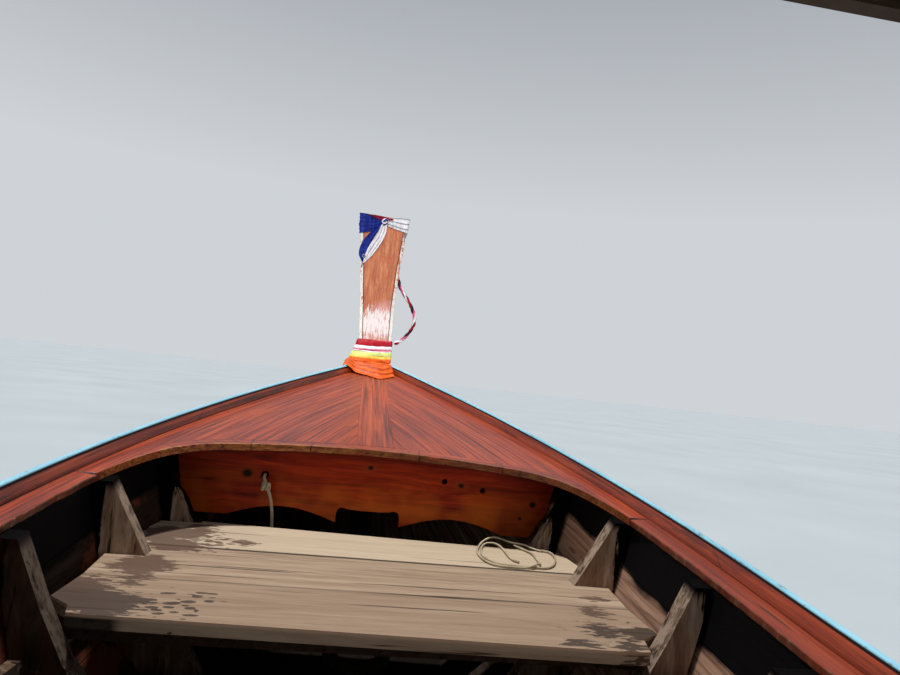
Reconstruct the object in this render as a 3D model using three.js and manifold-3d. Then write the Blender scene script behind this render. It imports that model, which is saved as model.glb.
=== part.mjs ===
// Longtail boat: an open planked hull with a tall prow post, benches under a canopy,
// and an engine with a long propeller tube on a swivelling post at the stern.
// Millimetres. +X runs forward, +Y to port, and +Z up from the waterline amidships.
import * as THREE from 'three';
import { mergeVertices } from 'three/addons/utils/BufferGeometryUtils.js';
import Module from 'manifold-3d';

const wasm = await Module();
wasm.setup();

// Clearance between pieces that touch
const GAP = 0.3;

// Hull
const STERN_X = -5400;
const BOW_X = 5380;
const STATIONS = [
  STERN_X, -5000, -4500, -4000, -3400, -2600, -1600, -600, 400, 1400, 2100, 2600,
  3050, 3450, 3800, 4150, 4450, 4700, 4950, 5180, BOW_X,
];
const MAX_RAIL_HALF = 1053;
const WIDEST_X = 2184;
const STEM_HEAD_X = 5541;
const STERN_RAIL_HALF = 533;
const LOWEST_SHEER = 501.5;
const LOWEST_SHEER_X = -304;
const SHEER_RISE_FORE = 19.83e-6;
const SHEER_RISE_AFT = 7e-6;
const HULL_BOTTOM = -300;
const FOREFOOT_X = 2800;
const STEM_HEAD_Z = 1170;
const STERN_RISE = 270;
const STERN_RISE_FROM = -3600;
const PLANK = 28;
const KEEL_HALF = 45;
const KEEL_BELOW = 60;
const KEEL_ABOVE = 40;
// Share of the height from keel to sheer at which each section has a point
const SECTION_STEPS = [0, 0.03, 0.1, 0.22, 0.4, 0.65, 1];

// Edge of the hull: how far each piece lies below the top of the rail or inboard of its outer face
const RAIL_WIDTH = 20;
const RAIL_CROWN = 8;
const BOARD_TOP_DROP = 34;
const BOARD_BOTTOM_DROP = 61.7;
const SHEER_DROP = 62;
const COVERING_DROP = 4;
const COVERING_INNER = 39;
const WASHBOARD_OUTER = 45;
const WASHBOARD_INNER = 115;
const WASHBOARD_TILT = 6;
const OUTWALE_DEPTH = 90;

// Frames
const RIB_A_X = 2943;
const RIB_PITCH = 498;
const RIBS_AHEAD = 1;
const RIBS_ASTERN = 15;
// Ribs, counted from the one just ahead of the benches, where a new length of riser or planking starts
const RIB_LENGTH_STARTS = [10, 12];
const PLANK_BUTT_RIBS = [12, 4];
const RIB_THICK = 64;
const FLOOR_HALF = 360;
const FLOOR_TOP = -85;
const RISER_TOP = 300;
const RISER_DEPTH = 100;
const RISER_THICK = 30;

// Foredeck, bulkhead board and platform
const DECK_EDGE_X = 3505;
const DECK_CORNER_X = 2900;
const DECK_TOP_DROP = 36;
const BULKHEAD_X = 3550;
const BULKHEAD_THICK = 28;
const PLATFORM_TOP = 420;
const PLATFORM_THICK = 35;

// Benches, sole and aft deck
const BENCH_X = [1192, 196, -800, -1796];
const BENCH_WIDTH = 300;
const BENCH_THICK = 30;
const SOLE_TOP = -60;
const SOLE_THICK = 24;
const AFT_DECK_FROM = -4570;

// Canopy
const POST_X = [1650, 50, -1550, -3150];
const POST_SIZE = 45;
const POST_INBOARD = 80;
const EAVES_Z = 1860;
const EAVES_HALF = 985;
const RAFTER_Z = 1905;
const RAFTER_TOP = 1938;
const CLOTH_HALF = 1060;
const CANOPY_FRONT = 1850;
const CANOPY_BACK = -3330;

// Engine
const PIVOT = [-5050, 0, 1050];
const TAIL_DROP_DEG = 20;
const SHAFT_Z = 90;
const PEDESTAL_TOP = 815;

const boat = new THREE.Group();
const clamp01 = (value) => Math.min(1, Math.max(0, value));

function finish(color, roughness = 0.8, metalness = 0) {
  return new THREE.MeshStandardMaterial({ color, roughness, metalness });
}

function add(parent, name, geometry, material) {
  const mesh = new THREE.Mesh(geometry, material);
  mesh.name = name;
  parent.add(mesh);
  return mesh;
}

// Closed body from points and faces, turned so that its faces point out
function bodyOf(points, faces) {
  let volume = 0;
  for (const [a, b, c] of faces) {
    const [p, q, r] = [points[a], points[b], points[c]];
    volume += p[0] * (q[1] * r[2] - q[2] * r[1])
      + p[1] * (q[2] * r[0] - q[0] * r[2])
      + p[2] * (q[0] * r[1] - q[1] * r[0]);
  }
  const turned = volume < 0 ? faces.map(([a, b, c]) => [a, c, b]) : faces;
  const geometry = new THREE.BufferGeometry();
  geometry.setAttribute('position', new THREE.Float32BufferAttribute(points.flat(), 3));
  geometry.setIndex(turned.flat());
  return geometry;
}

// Loft through rings. Each ring is one run of points out and an equal run back,
// so that its two ends close as strips.
function loft(rings) {
  const count = rings[0].length;
  const faces = [];
  for (let i = 0; i + 1 < rings.length; i++) {
    for (let j = 0; j < count; j++) {
      const k = (j + 1) % count;
      const [a, b, c, d] = [i * count + j, i * count + k, (i + 1) * count + k, (i + 1) * count + j];
      faces.push([a, b, c], [a, c, d]);
    }
  }
  const last = (rings.length - 1) * count;
  for (let j = 0; j + 1 < count / 2; j++) {
    const [a, b, c, d] = [j, j + 1, count - 2 - j, count - 1 - j];
    faces.push([a, c, b], [a, d, c]);
    faces.push([last + a, last + b, last + c], [last + a, last + c, last + d]);
  }
  return bodyOf(rings.flat(), faces);
}

function bare(geometry) {
  const copy = geometry.clone();
  copy.deleteAttribute('normal');
  copy.deleteAttribute('uv');
  return mergeVertices(copy, 1e-4);
}

function solidOf(geometry) {
  const merged = bare(geometry);
  return new wasm.Manifold(new wasm.Mesh({
    numProp: 3,
    vertProperties: new Float32Array(merged.attributes.position.array),
    triVerts: new Uint32Array(merged.index.array),
  }));
}

function geometryOf(solid) {
  const mesh = solid.getMesh();
  const geometry = new THREE.BufferGeometry();
  geometry.setAttribute('position', new THREE.BufferAttribute(new Float32Array(mesh.vertProperties), 3));
  geometry.setIndex(new THREE.BufferAttribute(new Uint32Array(mesh.triVerts), 1));
  return geometry;
}

const join = (geometries) => geometries.map(solidOf).reduce((sum, next) => sum.add(next));

function mirrored(geometry) {
  const copy = bare(geometry);
  copy.scale(1, -1, 1);
  const index = copy.index.array;
  for (let i = 0; i < index.length; i += 3) {
    [index[i + 1], index[i + 2]] = [index[i + 2], index[i + 1]];
  }
  return copy;
}

function box(x0, x1, y0, y1, z0, z1) {
  const geometry = new THREE.BoxGeometry(x1 - x0, y1 - y0, z1 - z0);
  geometry.translate((x0 + x1) / 2, (y0 + y1) / 2, (z0 + z1) / 2);
  return geometry;
}

function shapeOf(points) {
  return new THREE.Shape(points.map(([x, y]) => new THREE.Vector2(x, y)));
}

// Plate with its outline in Y and Z, from x0 to x1
function plateAcross(shape, x0, x1, curveSegments = 8) {
  const geometry = new THREE.ExtrudeGeometry(shape, { depth: x1 - x0, bevelEnabled: false, curveSegments });
  geometry.applyMatrix4(new THREE.Matrix4().set(
    0, 0, 1, x0,
    1, 0, 0, 0,
    0, 1, 0, 0,
    0, 0, 0, 1,
  ));
  return geometry;
}

// Plate with its outline in X and Y, from z0 to z1
function plateFlat(shape, z0, z1, curveSegments = 8) {
  const geometry = new THREE.ExtrudeGeometry(shape, { depth: z1 - z0, bevelEnabled: false, curveSegments });
  geometry.translate(0, 0, z0);
  return geometry;
}

// Plate with its outline in X and Z, from y0 to y1
function plateLengthwise(shape, y0, y1, curveSegments = 8) {
  const geometry = new THREE.ExtrudeGeometry(shape, { depth: y1 - y0, bevelEnabled: false, curveSegments });
  geometry.rotateX(Math.PI / 2);
  geometry.translate(0, y1, 0);
  return geometry;
}

function rodAlong(points, radius, sides, steps) {
  const path = new THREE.CatmullRomCurve3(points.map(([x, y, z]) => new THREE.Vector3(x, y, z)));
  const section = new THREE.Shape();
  for (let i = 0; i < sides; i++) {
    const angle = (2 * Math.PI * i) / sides;
    const at = [radius * Math.cos(angle), radius * Math.sin(angle)];
    if (i === 0) section.moveTo(...at);
    else section.lineTo(...at);
  }
  section.closePath();
  return new THREE.ExtrudeGeometry(section, { steps, extrudePath: path });
}

// Round bar from x0 to x1 about a line along X at height z
function barX(x0, x1, radius, z, y = 0, sides = 16) {
  const geometry = new THREE.CylinderGeometry(radius, radius, x1 - x0, sides);
  geometry.rotateZ(Math.PI / 2);
  geometry.translate((x0 + x1) / 2, y, z);
  return geometry;
}

function barY(y0, y1, radius, x, z, sides = 16) {
  const geometry = new THREE.CylinderGeometry(radius, radius, y1 - y0, sides);
  geometry.translate(x, (y0 + y1) / 2, z);
  return geometry;
}

function barZ(z0, z1, radius, x = 0, y = 0, sides = 20) {
  const geometry = new THREE.CylinderGeometry(radius, radius, z1 - z0, sides);
  geometry.rotateX(Math.PI / 2);
  geometry.translate(x, y, (z0 + z1) / 2);
  return geometry;
}

// Value of a curve along the straight facets between stations
function onStations(curve) {
  const values = STATIONS.map(curve);
  return (x) => {
    const after = Math.max(1, STATIONS.findIndex((station, i) => station >= x || i === STATIONS.length - 1));
    const [x0, x1] = [STATIONS[after - 1], STATIONS[after]];
    return values[after - 1] + ((values[after] - values[after - 1]) * (x - x0)) / (x1 - x0);
  };
}

// Lines of the hull
const railHalf = onStations((x) => {
  if (x > WIDEST_X) return MAX_RAIL_HALF * (1 - ((x - WIDEST_X) / (STEM_HEAD_X - WIDEST_X)) ** 2);
  const share = (WIDEST_X - x) / (WIDEST_X - STERN_X);
  return MAX_RAIL_HALF - (MAX_RAIL_HALF - STERN_RAIL_HALF) * share ** 3;
});

const railTop = onStations((x) => {
  const rise = x > LOWEST_SHEER_X ? SHEER_RISE_FORE : SHEER_RISE_AFT;
  return LOWEST_SHEER + rise * (x - LOWEST_SHEER_X) ** 2;
});

function keelLine(x) {
  if (x > FOREFOOT_X) {
    const share = (x - FOREFOOT_X) / (STEM_HEAD_X - FOREFOOT_X);
    return HULL_BOTTOM + (STEM_HEAD_Z - HULL_BOTTOM) * share ** 2.6;
  }
  return HULL_BOTTOM + STERN_RISE * clamp01((STERN_RISE_FROM - x) / (STERN_RISE_FROM - STERN_X)) ** 2;
}

// How far the rail stands out from the planking at the sheer
const overhang = (x) => 85 - 60 * clamp01((x - 2750) / 600) - 13 * clamp01((x - 3350) / (BOW_X - 3350));
const hullHalf = (x) => railHalf(x) - overhang(x);

// Outside of the planking at one station, from keel to sheer, as [y, z]
function outerSection(x) {
  const vee = clamp01((x - 3600) / (BOW_X - 3600)) ** 0.8;
  const fine = clamp01((STERN_RISE_FROM - x) / (STERN_RISE_FROM - STERN_X));
  const roundness = 2.4 - 1.3 * vee - 0.5 * fine;
  const flare = 1.6 - 0.55 * vee;
  const low = keelLine(x);
  const high = railTop(x) - SHEER_DROP;
  const side = KEEL_HALF + GAP;
  return SECTION_STEPS.map((step) => [
    side + (hullHalf(x) - side) * (1 - (1 - step) ** flare) ** (1 / roundness),
    low + (high - low) * step,
  ]);
}

// The same section moved inwards by an amount, kept clear of the keel
function offsetSection(x, inwards) {
  const outer = outerSection(x);
  const last = outer.length - 1;
  const inner = outer.map(([y, z], j) => {
    if (j === last) return [Math.max(y - inwards, KEEL_HALF + GAP), z];
    const [y0, z0] = outer[Math.max(j - 1, 0)];
    const [y1, z1] = outer[j + 1];
    const length = Math.hypot(y1 - y0, z1 - z0);
    return [
      Math.max(y - (inwards * (z1 - z0)) / length, KEEL_HALF + GAP),
      z + (inwards * (y1 - y0)) / length,
    ];
  });
  inner[0] = [KEEL_HALF + GAP, Math.min(outer[0][1] + inwards, inner[1][1] - 1)];
  return inner;
}

// Half-breadth of the inside of the planking at a height
function innerHalf(x, height) {
  const run = offsetSection(x, PLANK);
  for (let j = 0; j + 1 < run.length; j++) {
    const [y0, z0] = run[j];
    const [y1, z1] = run[j + 1];
    if (height <= z1) return y0 + ((y1 - y0) * (height - z0)) / (z1 - z0);
  }
  return run[run.length - 1][0];
}

const atX = (x, run) => run.map(([y, z]) => [x, y, z]);

function stationsBetween(x0, x1) {
  return [x0, ...STATIONS.filter((x) => x > x0 + 1 && x < x1 - 1), x1];
}

// Strip with a four-cornered section that follows the edge of the hull.
// corners(x) gives [y, z] for two corners out and two back.
function edgeStrip(x0, x1, corners) {
  return loft(stationsBetween(x0, x1).map((x) => atX(x, corners(x))));
}

// Space inside the planking, a hair smaller than it, for trimming what fits inside
function cavity() {
  const half = loft(STATIONS.map((x) => {
    const floor = keelLine(x) + KEEL_ABOVE + GAP;
    const run = offsetSection(x, PLANK + GAP).map(([y, z]) => [y, Math.max(z, floor)]).reverse();
    run[0][1] -= GAP;
    const flat = run.map(([, z]) => z);
    const spread = run.map(([y, z], j) => [y, z - j * 1e-3]);
    const centre = flat.map((z, j) => [-3, z - j * 1e-3]).reverse();
    return atX(x, [...spread, ...centre]);
  }));
  return solidOf(half).add(solidOf(mirrored(half)));
}

const inside = cavity();

function outside() {
  const half = loft(STATIONS.map((x) => {
    const run = offsetSection(x, -GAP);
    run[0] = [KEEL_HALF, keelLine(x) - GAP];
    const centre = run.map(([, z]) => [0, z]).reverse();
    return atX(x, [...run, ...centre]);
  }));
  return solidOf(half);
}

const TIMBER = 0x6b4a35;
const VARNISH = 0xb2502a;
const WEATHERED = 0xb39a80;
const CYAN = 0x8fd4ea;

// Keel, stem and prow post
function addBackbone() {
  const keelEnd = 4150;
  const keelRing = (x) => {
    const z = keelLine(x);
    return [
      [-KEEL_HALF, z - KEEL_BELOW], [KEEL_HALF, z - KEEL_BELOW],
      [KEEL_HALF, z + KEEL_ABOVE], [-KEEL_HALF, z + KEEL_ABOVE],
    ];
  };
  add(boat, 'keel', edgeStrip(STERN_X, keelEnd - GAP, keelRing), finish(TIMBER));

  const stemOuterHalf = 30;
  const stemRing = (xIn, zIn, xOut, zOut) => [
    [xIn, -KEEL_HALF, zIn], [xIn, KEEL_HALF, zIn],
    [xOut, stemOuterHalf, zOut], [xOut, -stemOuterHalf, zOut],
  ];
  const rings = [];
  for (const x of [keelEnd, 4450, 4700, 4950, 5150, 5300]) {
    const slope = x === keelEnd ? 0 : Math.atan((keelLine(x + 1) - keelLine(x - 1)) / 2);
    rings.push(stemRing(
      x - KEEL_ABOVE * Math.sin(slope), keelLine(x) + KEEL_ABOVE * Math.cos(slope),
      x + KEEL_BELOW * Math.sin(slope), keelLine(x) - KEEL_BELOW * Math.cos(slope),
    ));
  }
  const stemHead = 930;
  rings.push(stemRing(5318, stemHead - GAP, 5462, stemHead - GAP));
  add(boat, 'stem', loft(rings), finish(TIMBER));

  // height, aft face x, fore edge x, half-width aft, half-width fore, how far it leans to port
  const postRows = [
    [stemHead, 5381, 5462, 84, 34, 0],
    [1085, 5383, 5580, 100, 36, 7],
    [1180, 5405, 5650, 109, 38, 13],
    [1320, 5455, 5740, 117, 40, 20],
    [1560, 5500, 5830, 125, 44, 33],
    [1830, 5525, 5890, 144, 48, 42],
    [2230, 5560, 5930, 180, 56, 50],
  ];
  add(boat, 'prow_post', loft(postRows.map(([z, aft, fore, aftHalf, foreHalf, lean]) => [
    [aft, lean - aftHalf, z], [aft, lean + aftHalf, z], [fore, lean + foreHalf, z], [fore, lean - foreHalf, z],
  ])), finish(0xcd8050));
  return postRows;
}

// Planking of each side, in three lengths that are butted behind a rib
function addPlanking() {
  const port = solidOf(loft(STATIONS.map((x) => atX(x, [
    ...outerSection(x), ...offsetSection(x, PLANK).reverse(),
  ]))));
  const [aftButt, foreButt] = PLANK_BUTT_RIBS.map((index) => RIB_A_X - RIB_PITCH * index);
  const lengths = {
    aft: [STERN_X - 1, aftButt], mid: [aftButt + GAP, foreButt], fore: [foreButt + GAP, BOW_X + 1],
  };
  for (const [name, [x0, x1]] of Object.entries(lengths)) {
    const length = port.intersect(solidOf(box(x0, x1, 0, 1200, -600, 1400)));
    addBothSides(`hull_planking_${name}`, geometryOf(length), 0x5a3420);
  }

  const edge = outerSection(STERN_X);
  const low = edge[0][1];
  const high = railTop(STERN_X);
  const shoulder = high - SHEER_DROP - OUTWALE_DEPTH;
  const side = edge.filter(([, z]) => z < shoulder - 1);
  const halfOutline = [
    [KEEL_HALF, low - KEEL_BELOW], ...side,
    [hullHalf(STERN_X), shoulder], [railHalf(STERN_X), shoulder + 30], [railHalf(STERN_X), high],
  ];
  const outline = [...halfOutline, ...halfOutline.map(([y, z]) => [-y, z]).reverse()];
  add(boat, 'transom', plateAcross(shapeOf(outline), STERN_X - 38, STERN_X - GAP), finish(0x8a4526));
}

function addBothSides(name, geometry, color, roughness) {
  add(boat, `${name}_port`, geometry, finish(color, roughness));
  add(boat, `${name}_starboard`, mirrored(geometry), finish(color, roughness));
}

// Rail, covering board, washboard and outwale along each side
function addEdges() {
  const rail = edgeStrip(STERN_X, BOW_X, (x) => {
    const [y, z] = [railHalf(x), railTop(x)];
    return [
      [y - RAIL_WIDTH, z - BOARD_BOTTOM_DROP], [y, z - BOARD_BOTTOM_DROP],
      [y, z + RAIL_CROWN], [y - RAIL_WIDTH, z + RAIL_CROWN],
    ];
  });
  addBothSides('rail', rail, CYAN, 0.5);

  const covering = edgeStrip(STERN_X, BOW_X, (x) => {
    const [y, z] = [railHalf(x), railTop(x)];
    return [
      [y - COVERING_INNER, z - BOARD_BOTTOM_DROP], [y - RAIL_WIDTH - GAP, z - BOARD_BOTTOM_DROP],
      [y - RAIL_WIDTH - GAP, z - COVERING_DROP], [y - COVERING_INNER, z - BOARD_TOP_DROP],
    ];
  });
  addBothSides('covering_board', covering, VARNISH, 0.4);

  const washboard = edgeStrip(STERN_X, DECK_CORNER_X - GAP, (x) => {
    const [y, z] = [railHalf(x), railTop(x)];
    return [
      [y - WASHBOARD_INNER, z - BOARD_BOTTOM_DROP], [y - WASHBOARD_OUTER, z - BOARD_BOTTOM_DROP],
      [y - WASHBOARD_OUTER, z - BOARD_TOP_DROP],
      [y - WASHBOARD_INNER, z - BOARD_TOP_DROP - WASHBOARD_TILT],
    ];
  });
  addBothSides('washboard', washboard, VARNISH, 0.4);

  const faceInset = 4;
  const outwale = edgeStrip(STERN_X, BOW_X, (x) => {
    const top = railTop(x) - SHEER_DROP;
    const face = railHalf(x) - faceInset;
    const inboard = hullHalf(x) - 40;
    return [
      [inboard, top - OUTWALE_DEPTH], [hullHalf(x) + overhang(x) * 0.5, top - OUTWALE_DEPTH],
      [face, top - OUTWALE_DEPTH * 0.55], [face, top], [(face + inboard) / 2, top], [inboard, top],
    ];
  });
  addBothSides('outwale', geometryOf(solidOf(outwale).subtract(outside())), 0x2f6f9c, 0.6);
}

// Natural timbers: the second rib ahead of the benches stands off its pitch and has a narrow foot
const RIB_B = { index: 1, shift: -19, head: 892, foot: 785 };
const RIB_A = { index: 0, shift: 0, head: 860, foot: 719 };
const RIB_USUAL = { shift: 0, head: 874, foot: 745 };
const ribs = [];
for (let k = -RIBS_AHEAD; k <= RIBS_ASTERN; k++) {
  const kind = [RIB_A, RIB_B].find((rib) => rib.index === k) ?? RIB_USUAL;
  ribs.push({ ...kind, x: RIB_A_X - RIB_PITCH * k + kind.shift });
}

// One port rib, broad at its foot and narrow under the washboard, or grown by a margin
function ribBlank({ x, head, foot }, margin = 0) {
  const scale = hullHalf(x) / hullHalf(RIB_A_X);
  const headZ = 670;
  const footZ = 425;
  // half-breadth at the widest hull, height
  const inboardEdge = [[head, headZ], [foot, footZ], [foot - 70, 290], [500, 40], [FLOOR_HALF / scale, FLOOR_TOP]];
  const outline = inboardEdge.map(([y, z]) => [y * scale - margin, z]);
  const beyond = 1200;
  outline.push([FLOOR_HALF, -600], [beyond, -600], [beyond, 900], [head * scale - margin, 900]);
  return plateAcross(shapeOf(outline), x - RIB_THICK / 2 - margin, x + RIB_THICK / 2 + margin);
}

// A piece that lies between the ribs, trimmed to the planking and notched round every rib
function fitBetweenRibs(geometry) {
  const margin = 2;
  let fitted = solidOf(geometry).intersect(inside);
  const range = fitted.boundingBox();
  for (const rib of ribs) {
    if (rib.x < range.min[0] - RIB_THICK || rib.x > range.max[0] + RIB_THICK) continue;
    const port = ribBlank(rib, margin);
    fitted = fitted.subtract(solidOf(port)).subtract(solidOf(mirrored(port)));
  }
  return geometryOf(fitted);
}

function riserBlank(x0, x1) {
  return edgeStrip(x0, x1, (x) => {
    const face = innerHalf(x, RISER_TOP) - RISER_THICK;
    return [
      [face, RISER_TOP - RISER_DEPTH], [face + 200, RISER_TOP - RISER_DEPTH],
      [face + 200, RISER_TOP], [face, RISER_TOP],
    ];
  });
}

function addFrames() {
  const starts = [0, ...RIB_LENGTH_STARTS.map((index) => index + RIBS_AHEAD), ribs.length];
  const between = (i) => (ribs[i - 1].x + ribs[i].x) / 2;
  ['fore', 'mid', 'aft'].forEach((name, i) => {
    const group = ribs.slice(starts[i], starts[i + 1]);
    const x0 = name === 'aft' ? STERN_X + 1 : between(starts[i + 1]) + GAP;
    const x1 = name === 'fore' ? group[0].x + 24 : between(starts[i]);
    const blank = join([...group.map((rib) => ribBlank(rib)), riserBlank(x0, x1)]);
    addBothSides(`ribs_and_riser_${name}`, geometryOf(blank.intersect(inside)), 0x6e5a4a, 0.9);
  });

  const keelsonEnd = 3600;
  const keelson = edgeStrip(-4700, keelsonEnd, (x) => {
    const z = keelLine(x) + KEEL_ABOVE + GAP;
    return [[-KEEL_HALF, z], [KEEL_HALF, z], [KEEL_HALF, z + 70], [-KEEL_HALF, z + 70]];
  });
  const floors = ribs.map(({ x }) => (
    box(x - 30, x + 30, -FLOOR_HALF + GAP, FLOOR_HALF - GAP, HULL_BOTTOM - 50, FLOOR_TOP)
  ));
  const bottom = join([keelson, ...floors]).intersect(inside);
  add(boat, 'keelson_and_floors', geometryOf(bottom), finish(TIMBER, 0.9));

  const seams = [-118, 118].map((y) => box(-5000, 5000, y - 3, y + 3, SOLE_TOP - 8, SOLE_TOP + 8));
  const sole = seams.map(solidOf).reduce(
    (left, seam) => left.subtract(seam),
    solidOf(box(-4300, 3525, -350, 350, SOLE_TOP - SOLE_THICK, SOLE_TOP)),
  );
  add(boat, 'sole_boards', geometryOf(sole.intersect(inside)), finish(WEATHERED, 0.9));
}

// Foredeck with a hollowed aft edge that sweeps into the washboards
function addForedeck() {
  const edge = new THREE.Shape();
  const corner = railHalf(DECK_CORNER_X) - WASHBOARD_INNER;
  const beyond = 1300;
  edge.moveTo(DECK_EDGE_X, 0);
  edge.bezierCurveTo(3500, 250, 3450, 430, 3400, 600);
  edge.bezierCurveTo(3340, 760, 3200, 835, DECK_CORNER_X, corner);
  edge.lineTo(DECK_CORNER_X, beyond);
  edge.lineTo(BOW_X + 100, beyond);
  edge.lineTo(BOW_X + 100, -beyond);
  edge.lineTo(DECK_CORNER_X, -beyond);
  edge.lineTo(DECK_CORNER_X, -corner);
  edge.bezierCurveTo(3200, -835, 3340, -760, 3400, -600);
  edge.bezierCurveTo(3450, -430, 3500, -250, DECK_EDGE_X, 0);
  const slab = edgeStrip(DECK_CORNER_X, BOW_X, (x) => {
    const [y, z] = [railHalf(x) - WASHBOARD_OUTER, railTop(x)];
    return [
      [-y, z - BOARD_BOTTOM_DROP], [y, z - BOARD_BOTTOM_DROP],
      [y, z - DECK_TOP_DROP], [-y, z - DECK_TOP_DROP],
    ];
  });
  const deck = solidOf(slab).intersect(solidOf(plateFlat(edge, 0, 1500, 7)));
  add(boat, 'foredeck', geometryOf(deck), finish(VARNISH, 0.35));

  // Lower edge of the bulkhead board: two arches beside a notch with ears
  const [flatZ, archRise, archFrom, archTo] = [431, 50, 590, 135];
  const half = [[815, 760], [812, 575], [746, 490], [715, flatZ]];
  for (let i = 0; i < 9; i++) {
    const y = archFrom - ((archFrom - archTo) * i) / 8;
    half.push([y, flatZ + archRise * Math.sin((Math.PI * i) / 8)]);
  }
  half.push([136, 470], [127, 490], [110, 496], [90, 490], [45, 487]);
  const outline = [...half, ...half.map(([y, z]) => [-y, z]).reverse()];
  const plain = solidOf(plateAcross(shapeOf(outline), BULKHEAD_X, BULKHEAD_X + BULKHEAD_THICK));
  const board = BULKHEAD_HOLES.reduce((left, [y, z, radius]) => (
    left.subtract(solidOf(barX(BULKHEAD_X - 5, BULKHEAD_X + BULKHEAD_THICK + 5, radius, z, y, 12)))
  ), plain);
  add(boat, 'bulkhead_board', geometryOf(board.intersect(inside)), finish(0xb5431c, 0.35));
}

// Three cross planks ahead of the benches, notched round the ribs, on two bearers
function addPlatform() {
  const bearerXs = { platform_bearer_aft: 2560, platform_bearer_fore: 3230 };
  for (const [name, x] of Object.entries(bearerXs)) {
    const blank = solidOf(box(x - 30, x + 30, -1000, 1000, RISER_TOP + GAP, PLATFORM_TOP - PLATFORM_THICK - GAP));
    add(boat, name, geometryOf(blank.intersect(inside)), finish(TIMBER, 0.9));
  }
  // x, y of each corner, port side first from the aft edge forward, then back down starboard
  const outlines = {
    platform_plank_aft: [
      [2385, 700], [2389, 745], [2444, 762], [2500, 826], [2692, 820],
      [2692, -820], [2486, -826], [2444, -765], [2352, -745], [2345, -700],
    ],
    platform_plank_mid: [
      [2693, 820], [2904, 836], [2966, 830], [3052, 812],
      [3052, -812], [2966, -830], [2904, -838], [2693, -820],
    ],
    platform_plank_fore: [
      [3053, 812], [3160, 812], [3392, 812], [3402, 655], [3432, 650], [3362, -640],
      [3350, -735], [3310, -800], [3190, -814], [3053, -814],
    ],
  };
  for (const [name, outline] of Object.entries(outlines)) {
    const blank = plateFlat(shapeOf(outline), PLATFORM_TOP - PLATFORM_THICK, PLATFORM_TOP);
    add(boat, name, fitBetweenRibs(blank), finish(WEATHERED, 0.9));
  }
}

function addBenchesAndAftDeck() {
  BENCH_X.forEach((x, i) => {
    const [low, high] = [RISER_TOP + GAP, RISER_TOP + GAP + BENCH_THICK];
    const blank = solidOf(box(x - BENCH_WIDTH / 2, x + BENCH_WIDTH / 2, -1000, 1000, low, high));
    add(boat, `bench_${i + 1}`, geometryOf(blank.intersect(inside)), finish(0x9a6a44, 0.7));
  });
  const deck = solidOf(box(STERN_X + 1, AFT_DECK_FROM, -1000, 1000, RISER_TOP + GAP, RISER_TOP + BENCH_THICK));
  add(boat, 'aft_deck', geometryOf(deck.intersect(inside)), finish(0x9a6a44, 0.7));
  const beamTop = railTop(PIVOT[0]) - SHEER_DROP - 1;
  const beam = solidOf(box(PIVOT[0] - 70, PIVOT[0] + 70, -1000, 1000, beamTop - 150, beamTop));
  add(boat, 'engine_beam', geometryOf(beam.intersect(inside)), finish(TIMBER, 0.8));
  const pedestal = join([
    box(PIVOT[0] - 65, PIVOT[0] + 65, -120, 120, beamTop + GAP, beamTop + 14),
    barZ(beamTop + 10, PEDESTAL_TOP, 55, PIVOT[0]),
    barZ(PEDESTAL_TOP - 5, PEDESTAL_TOP + 35, 25, PIVOT[0]),
  ]);
  add(boat, 'engine_pedestal', geometryOf(pedestal), finish(0x4a3a30, 0.7, 0.6));
}

function addCanopy() {
  const side = join([
    ...POST_X.map((x) => {
      const foot = railTop(x) - BOARD_TOP_DROP + 2;
      const y = railHalf(x) - POST_INBOARD;
      const half = POST_SIZE / 2;
      const square = (at, z) => [
        [x - half, at - half, z], [x + half, at - half, z],
        [x + half, at + half, z], [x - half, at + half, z],
      ];
      return loft([square(y, foot + 1), square(EAVES_HALF, EAVES_Z + 10)]);
    }),
    box(CANOPY_BACK + 20, CANOPY_FRONT - 20, EAVES_HALF - 22, EAVES_HALF + 22, EAVES_Z, RAFTER_Z - GAP),
  ]);
  addBothSides('canopy_posts_and_eaves', geometryOf(side), 0x5d4636, 0.8);
  const rafterXs = [CANOPY_FRONT - 55, ...POST_X, CANOPY_BACK + 55];
  const roof = join([
    ...rafterXs.map((x) => box(x - 20, x + 20, -1030, 1030, RAFTER_Z, RAFTER_TOP)),
    box(CANOPY_BACK + 35, CANOPY_FRONT - 35, -22, 22, RAFTER_Z + 2, RAFTER_TOP + 12),
  ]);
  add(boat, 'canopy_rafters', geometryOf(roof), finish(0x5d4636, 0.8));

  // Cloth: y, height of the underside
  const droop = [
    [-CLOTH_HALF, RAFTER_TOP - 45], [-1040, RAFTER_TOP + GAP], [-30, RAFTER_TOP + 12 + GAP],
    [30, RAFTER_TOP + 12 + GAP], [1040, RAFTER_TOP + GAP], [CLOTH_HALF, RAFTER_TOP - 45],
  ];
  const thick = 6;
  const upper = droop.map(([y, z], i) => [y + (i === 0 ? -thick : i === 5 ? thick : 0), z + thick]);
  upper[0][1] -= thick;
  upper[5][1] -= thick;
  const cloth = [CANOPY_BACK, CANOPY_FRONT].map((x) => atX(x, [...droop, ...[...upper].reverse()]));
  add(boat, 'canopy_cloth', loft(cloth), finish(0x2e3a44, 0.9));
}

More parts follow.
